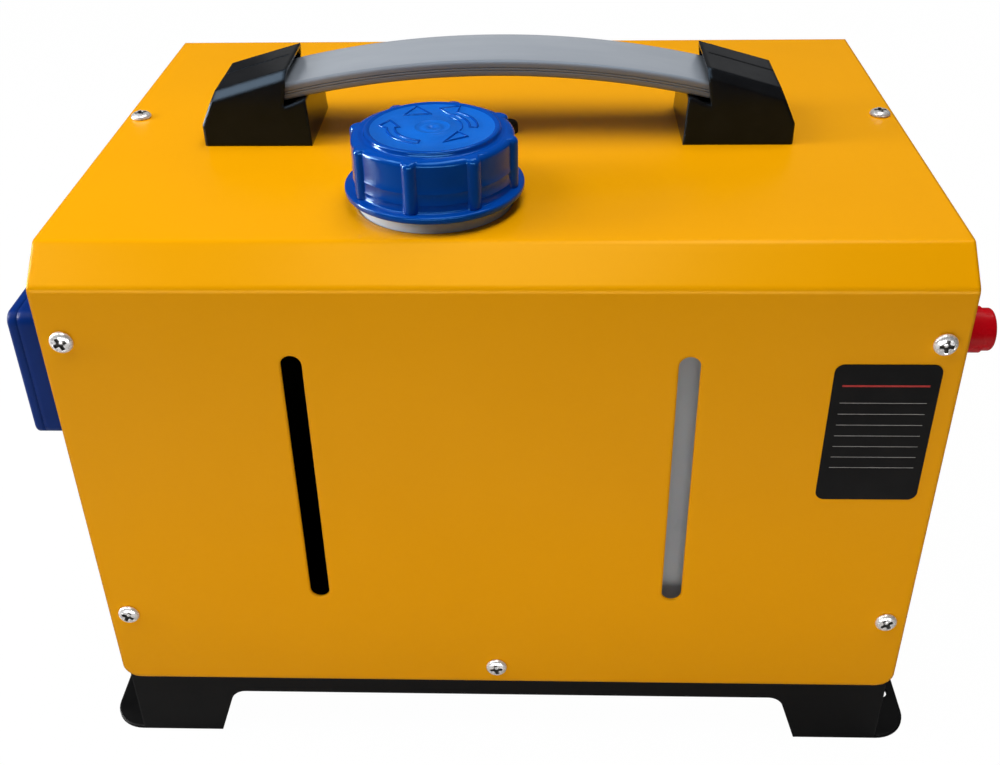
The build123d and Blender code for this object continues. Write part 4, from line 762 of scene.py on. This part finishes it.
# Lights that only show as highlights, on folds, rounded edges, the cap, the hoods and the grip.
fold_glint = soft_light("fold_glint", (0, -1.2, 0.19), (0, -0.137, 0.24), (1.6, 0.14), 20)
cap_glint = soft_light("cap_glint", (0, -1.2, 0.5), (0, -0.08, 0.29), (1.6, 0.25), 14)
hood_glint = soft_light("hood_glint", (-0.72, -0.27, 1.3), (-0.1, 0, 0.3), (0.4, 0.4), 3)
edge_glint = soft_light("edge_glint", (-1.23, 0.03, 0.4), (-0.13, 0, 0.29), (0.3, 0.3), 18)
grip_glint = soft_light("grip_glint", (0, 1.4, 0.85), (0, 0, 0.31), (1.6, 0.8), 5)
roof_glint = soft_light("roof_glint", (0, 1.3, 0.55), (0, 0, 0.3), (1.2, 0.3), 0.15)
limit(fold_glint, "INCLUDE", nodes["top_cover"], screws)
limit(cap_glint, "INCLUDE", cap)
limit(hood_glint, "INCLUDE", nodes["handle_end_left"], nodes["handle_end_right"], cap)
limit(roof_glint, "INCLUDE", nodes["handle_end_left"], nodes["handle_end_right"])
limit(grip_glint, "INCLUDE", grip)
for lamp in (fold_glint, cap_glint, hood_glint, edge_glint, grip_glint, roof_glint):
    lamp.visible_diffuse = False

# The world lights the object dimly and stands white behind it.
WORLD_FILL = 0.05
studio = bpy.data.worlds.new("studio")
studio.use_nodes = True
scene.world = studio
tree = studio.node_tree
fill = tree.nodes["Background"]
fill.inputs["Color"].default_value = (0.93, 0.95, 1.0, 1)
fill.inputs["Strength"].default_value = WORLD_FILL
white = tree.nodes.new("ShaderNodeBackground")
white.inputs["Color"].default_value = (1, 1, 1, 1)
ray = tree.nodes.new("ShaderNodeLightPath")
seen = tree.nodes.new("ShaderNodeMath")
seen.operation = "MAXIMUM"
choose = tree.nodes.new("ShaderNodeMixShader")
link(tree, ray.outputs["Is Camera Ray"], seen.inputs[0])
link(tree, ray.outputs["Is Transmission Ray"], seen.inputs[1])
link(tree, seen.outputs[0], choose.inputs["Fac"])
link(tree, fill.outputs[0], choose.inputs[1])
link(tree, white.outputs[0], choose.inputs[2])
link(tree, choose.outputs[0], tree.nodes["World Output"].inputs["Surface"])
scene.view_settings.view_transform = "Standard"

# The floor is grey paper to the lights and nearly all white to the camera.
FLOOR_HALF = 6
FLOOR_DROP = 0.0004
FLOOR_GLOW = 1.02
FLOOR_GLOW_SHARE = 0.97
floor_mesh = bpy.data.meshes.new("floor")
corners = [(-1, -1), (1, -1), (1, 1), (-1, 1)]
corners = [(x * FLOOR_HALF, y * FLOOR_HALF, 0) for x, y in corners]
floor_mesh.from_pydata(corners, [], [(0, 1, 2, 3)])
floor = bpy.data.objects.new("floor", floor_mesh)
floor.location.z = -FLOOR_DROP
scene.collection.objects.link(floor)
paper = surface(
    "floor_paper", (0.40, 0.40, 0.40), (0.42, 0.42, 0.42), (0.7, 0.8), tone=2, grain=300
)
tree = paper.node_tree
glow = tree.nodes.new("ShaderNodeEmission")
glow.inputs["Strength"].default_value = FLOOR_GLOW
ray = tree.nodes.new("ShaderNodeLightPath")
lift = tree.nodes.new("ShaderNodeMath")
lift.operation = "MULTIPLY"
lift.inputs[1].default_value = FLOOR_GLOW_SHARE
choose = tree.nodes.new("ShaderNodeMixShader")
link(tree, ray.outputs["Is Camera Ray"], lift.inputs[0])
link(tree, lift.outputs[0], choose.inputs["Fac"])
link(tree, tree.nodes["Principled BSDF"].outputs[0], choose.inputs[1])
link(tree, glow.outputs[0], choose.inputs[2])
link(tree, choose.outputs[0], tree.nodes["Material Output"].inputs["Surface"])
floor_mesh.materials.append(paper)
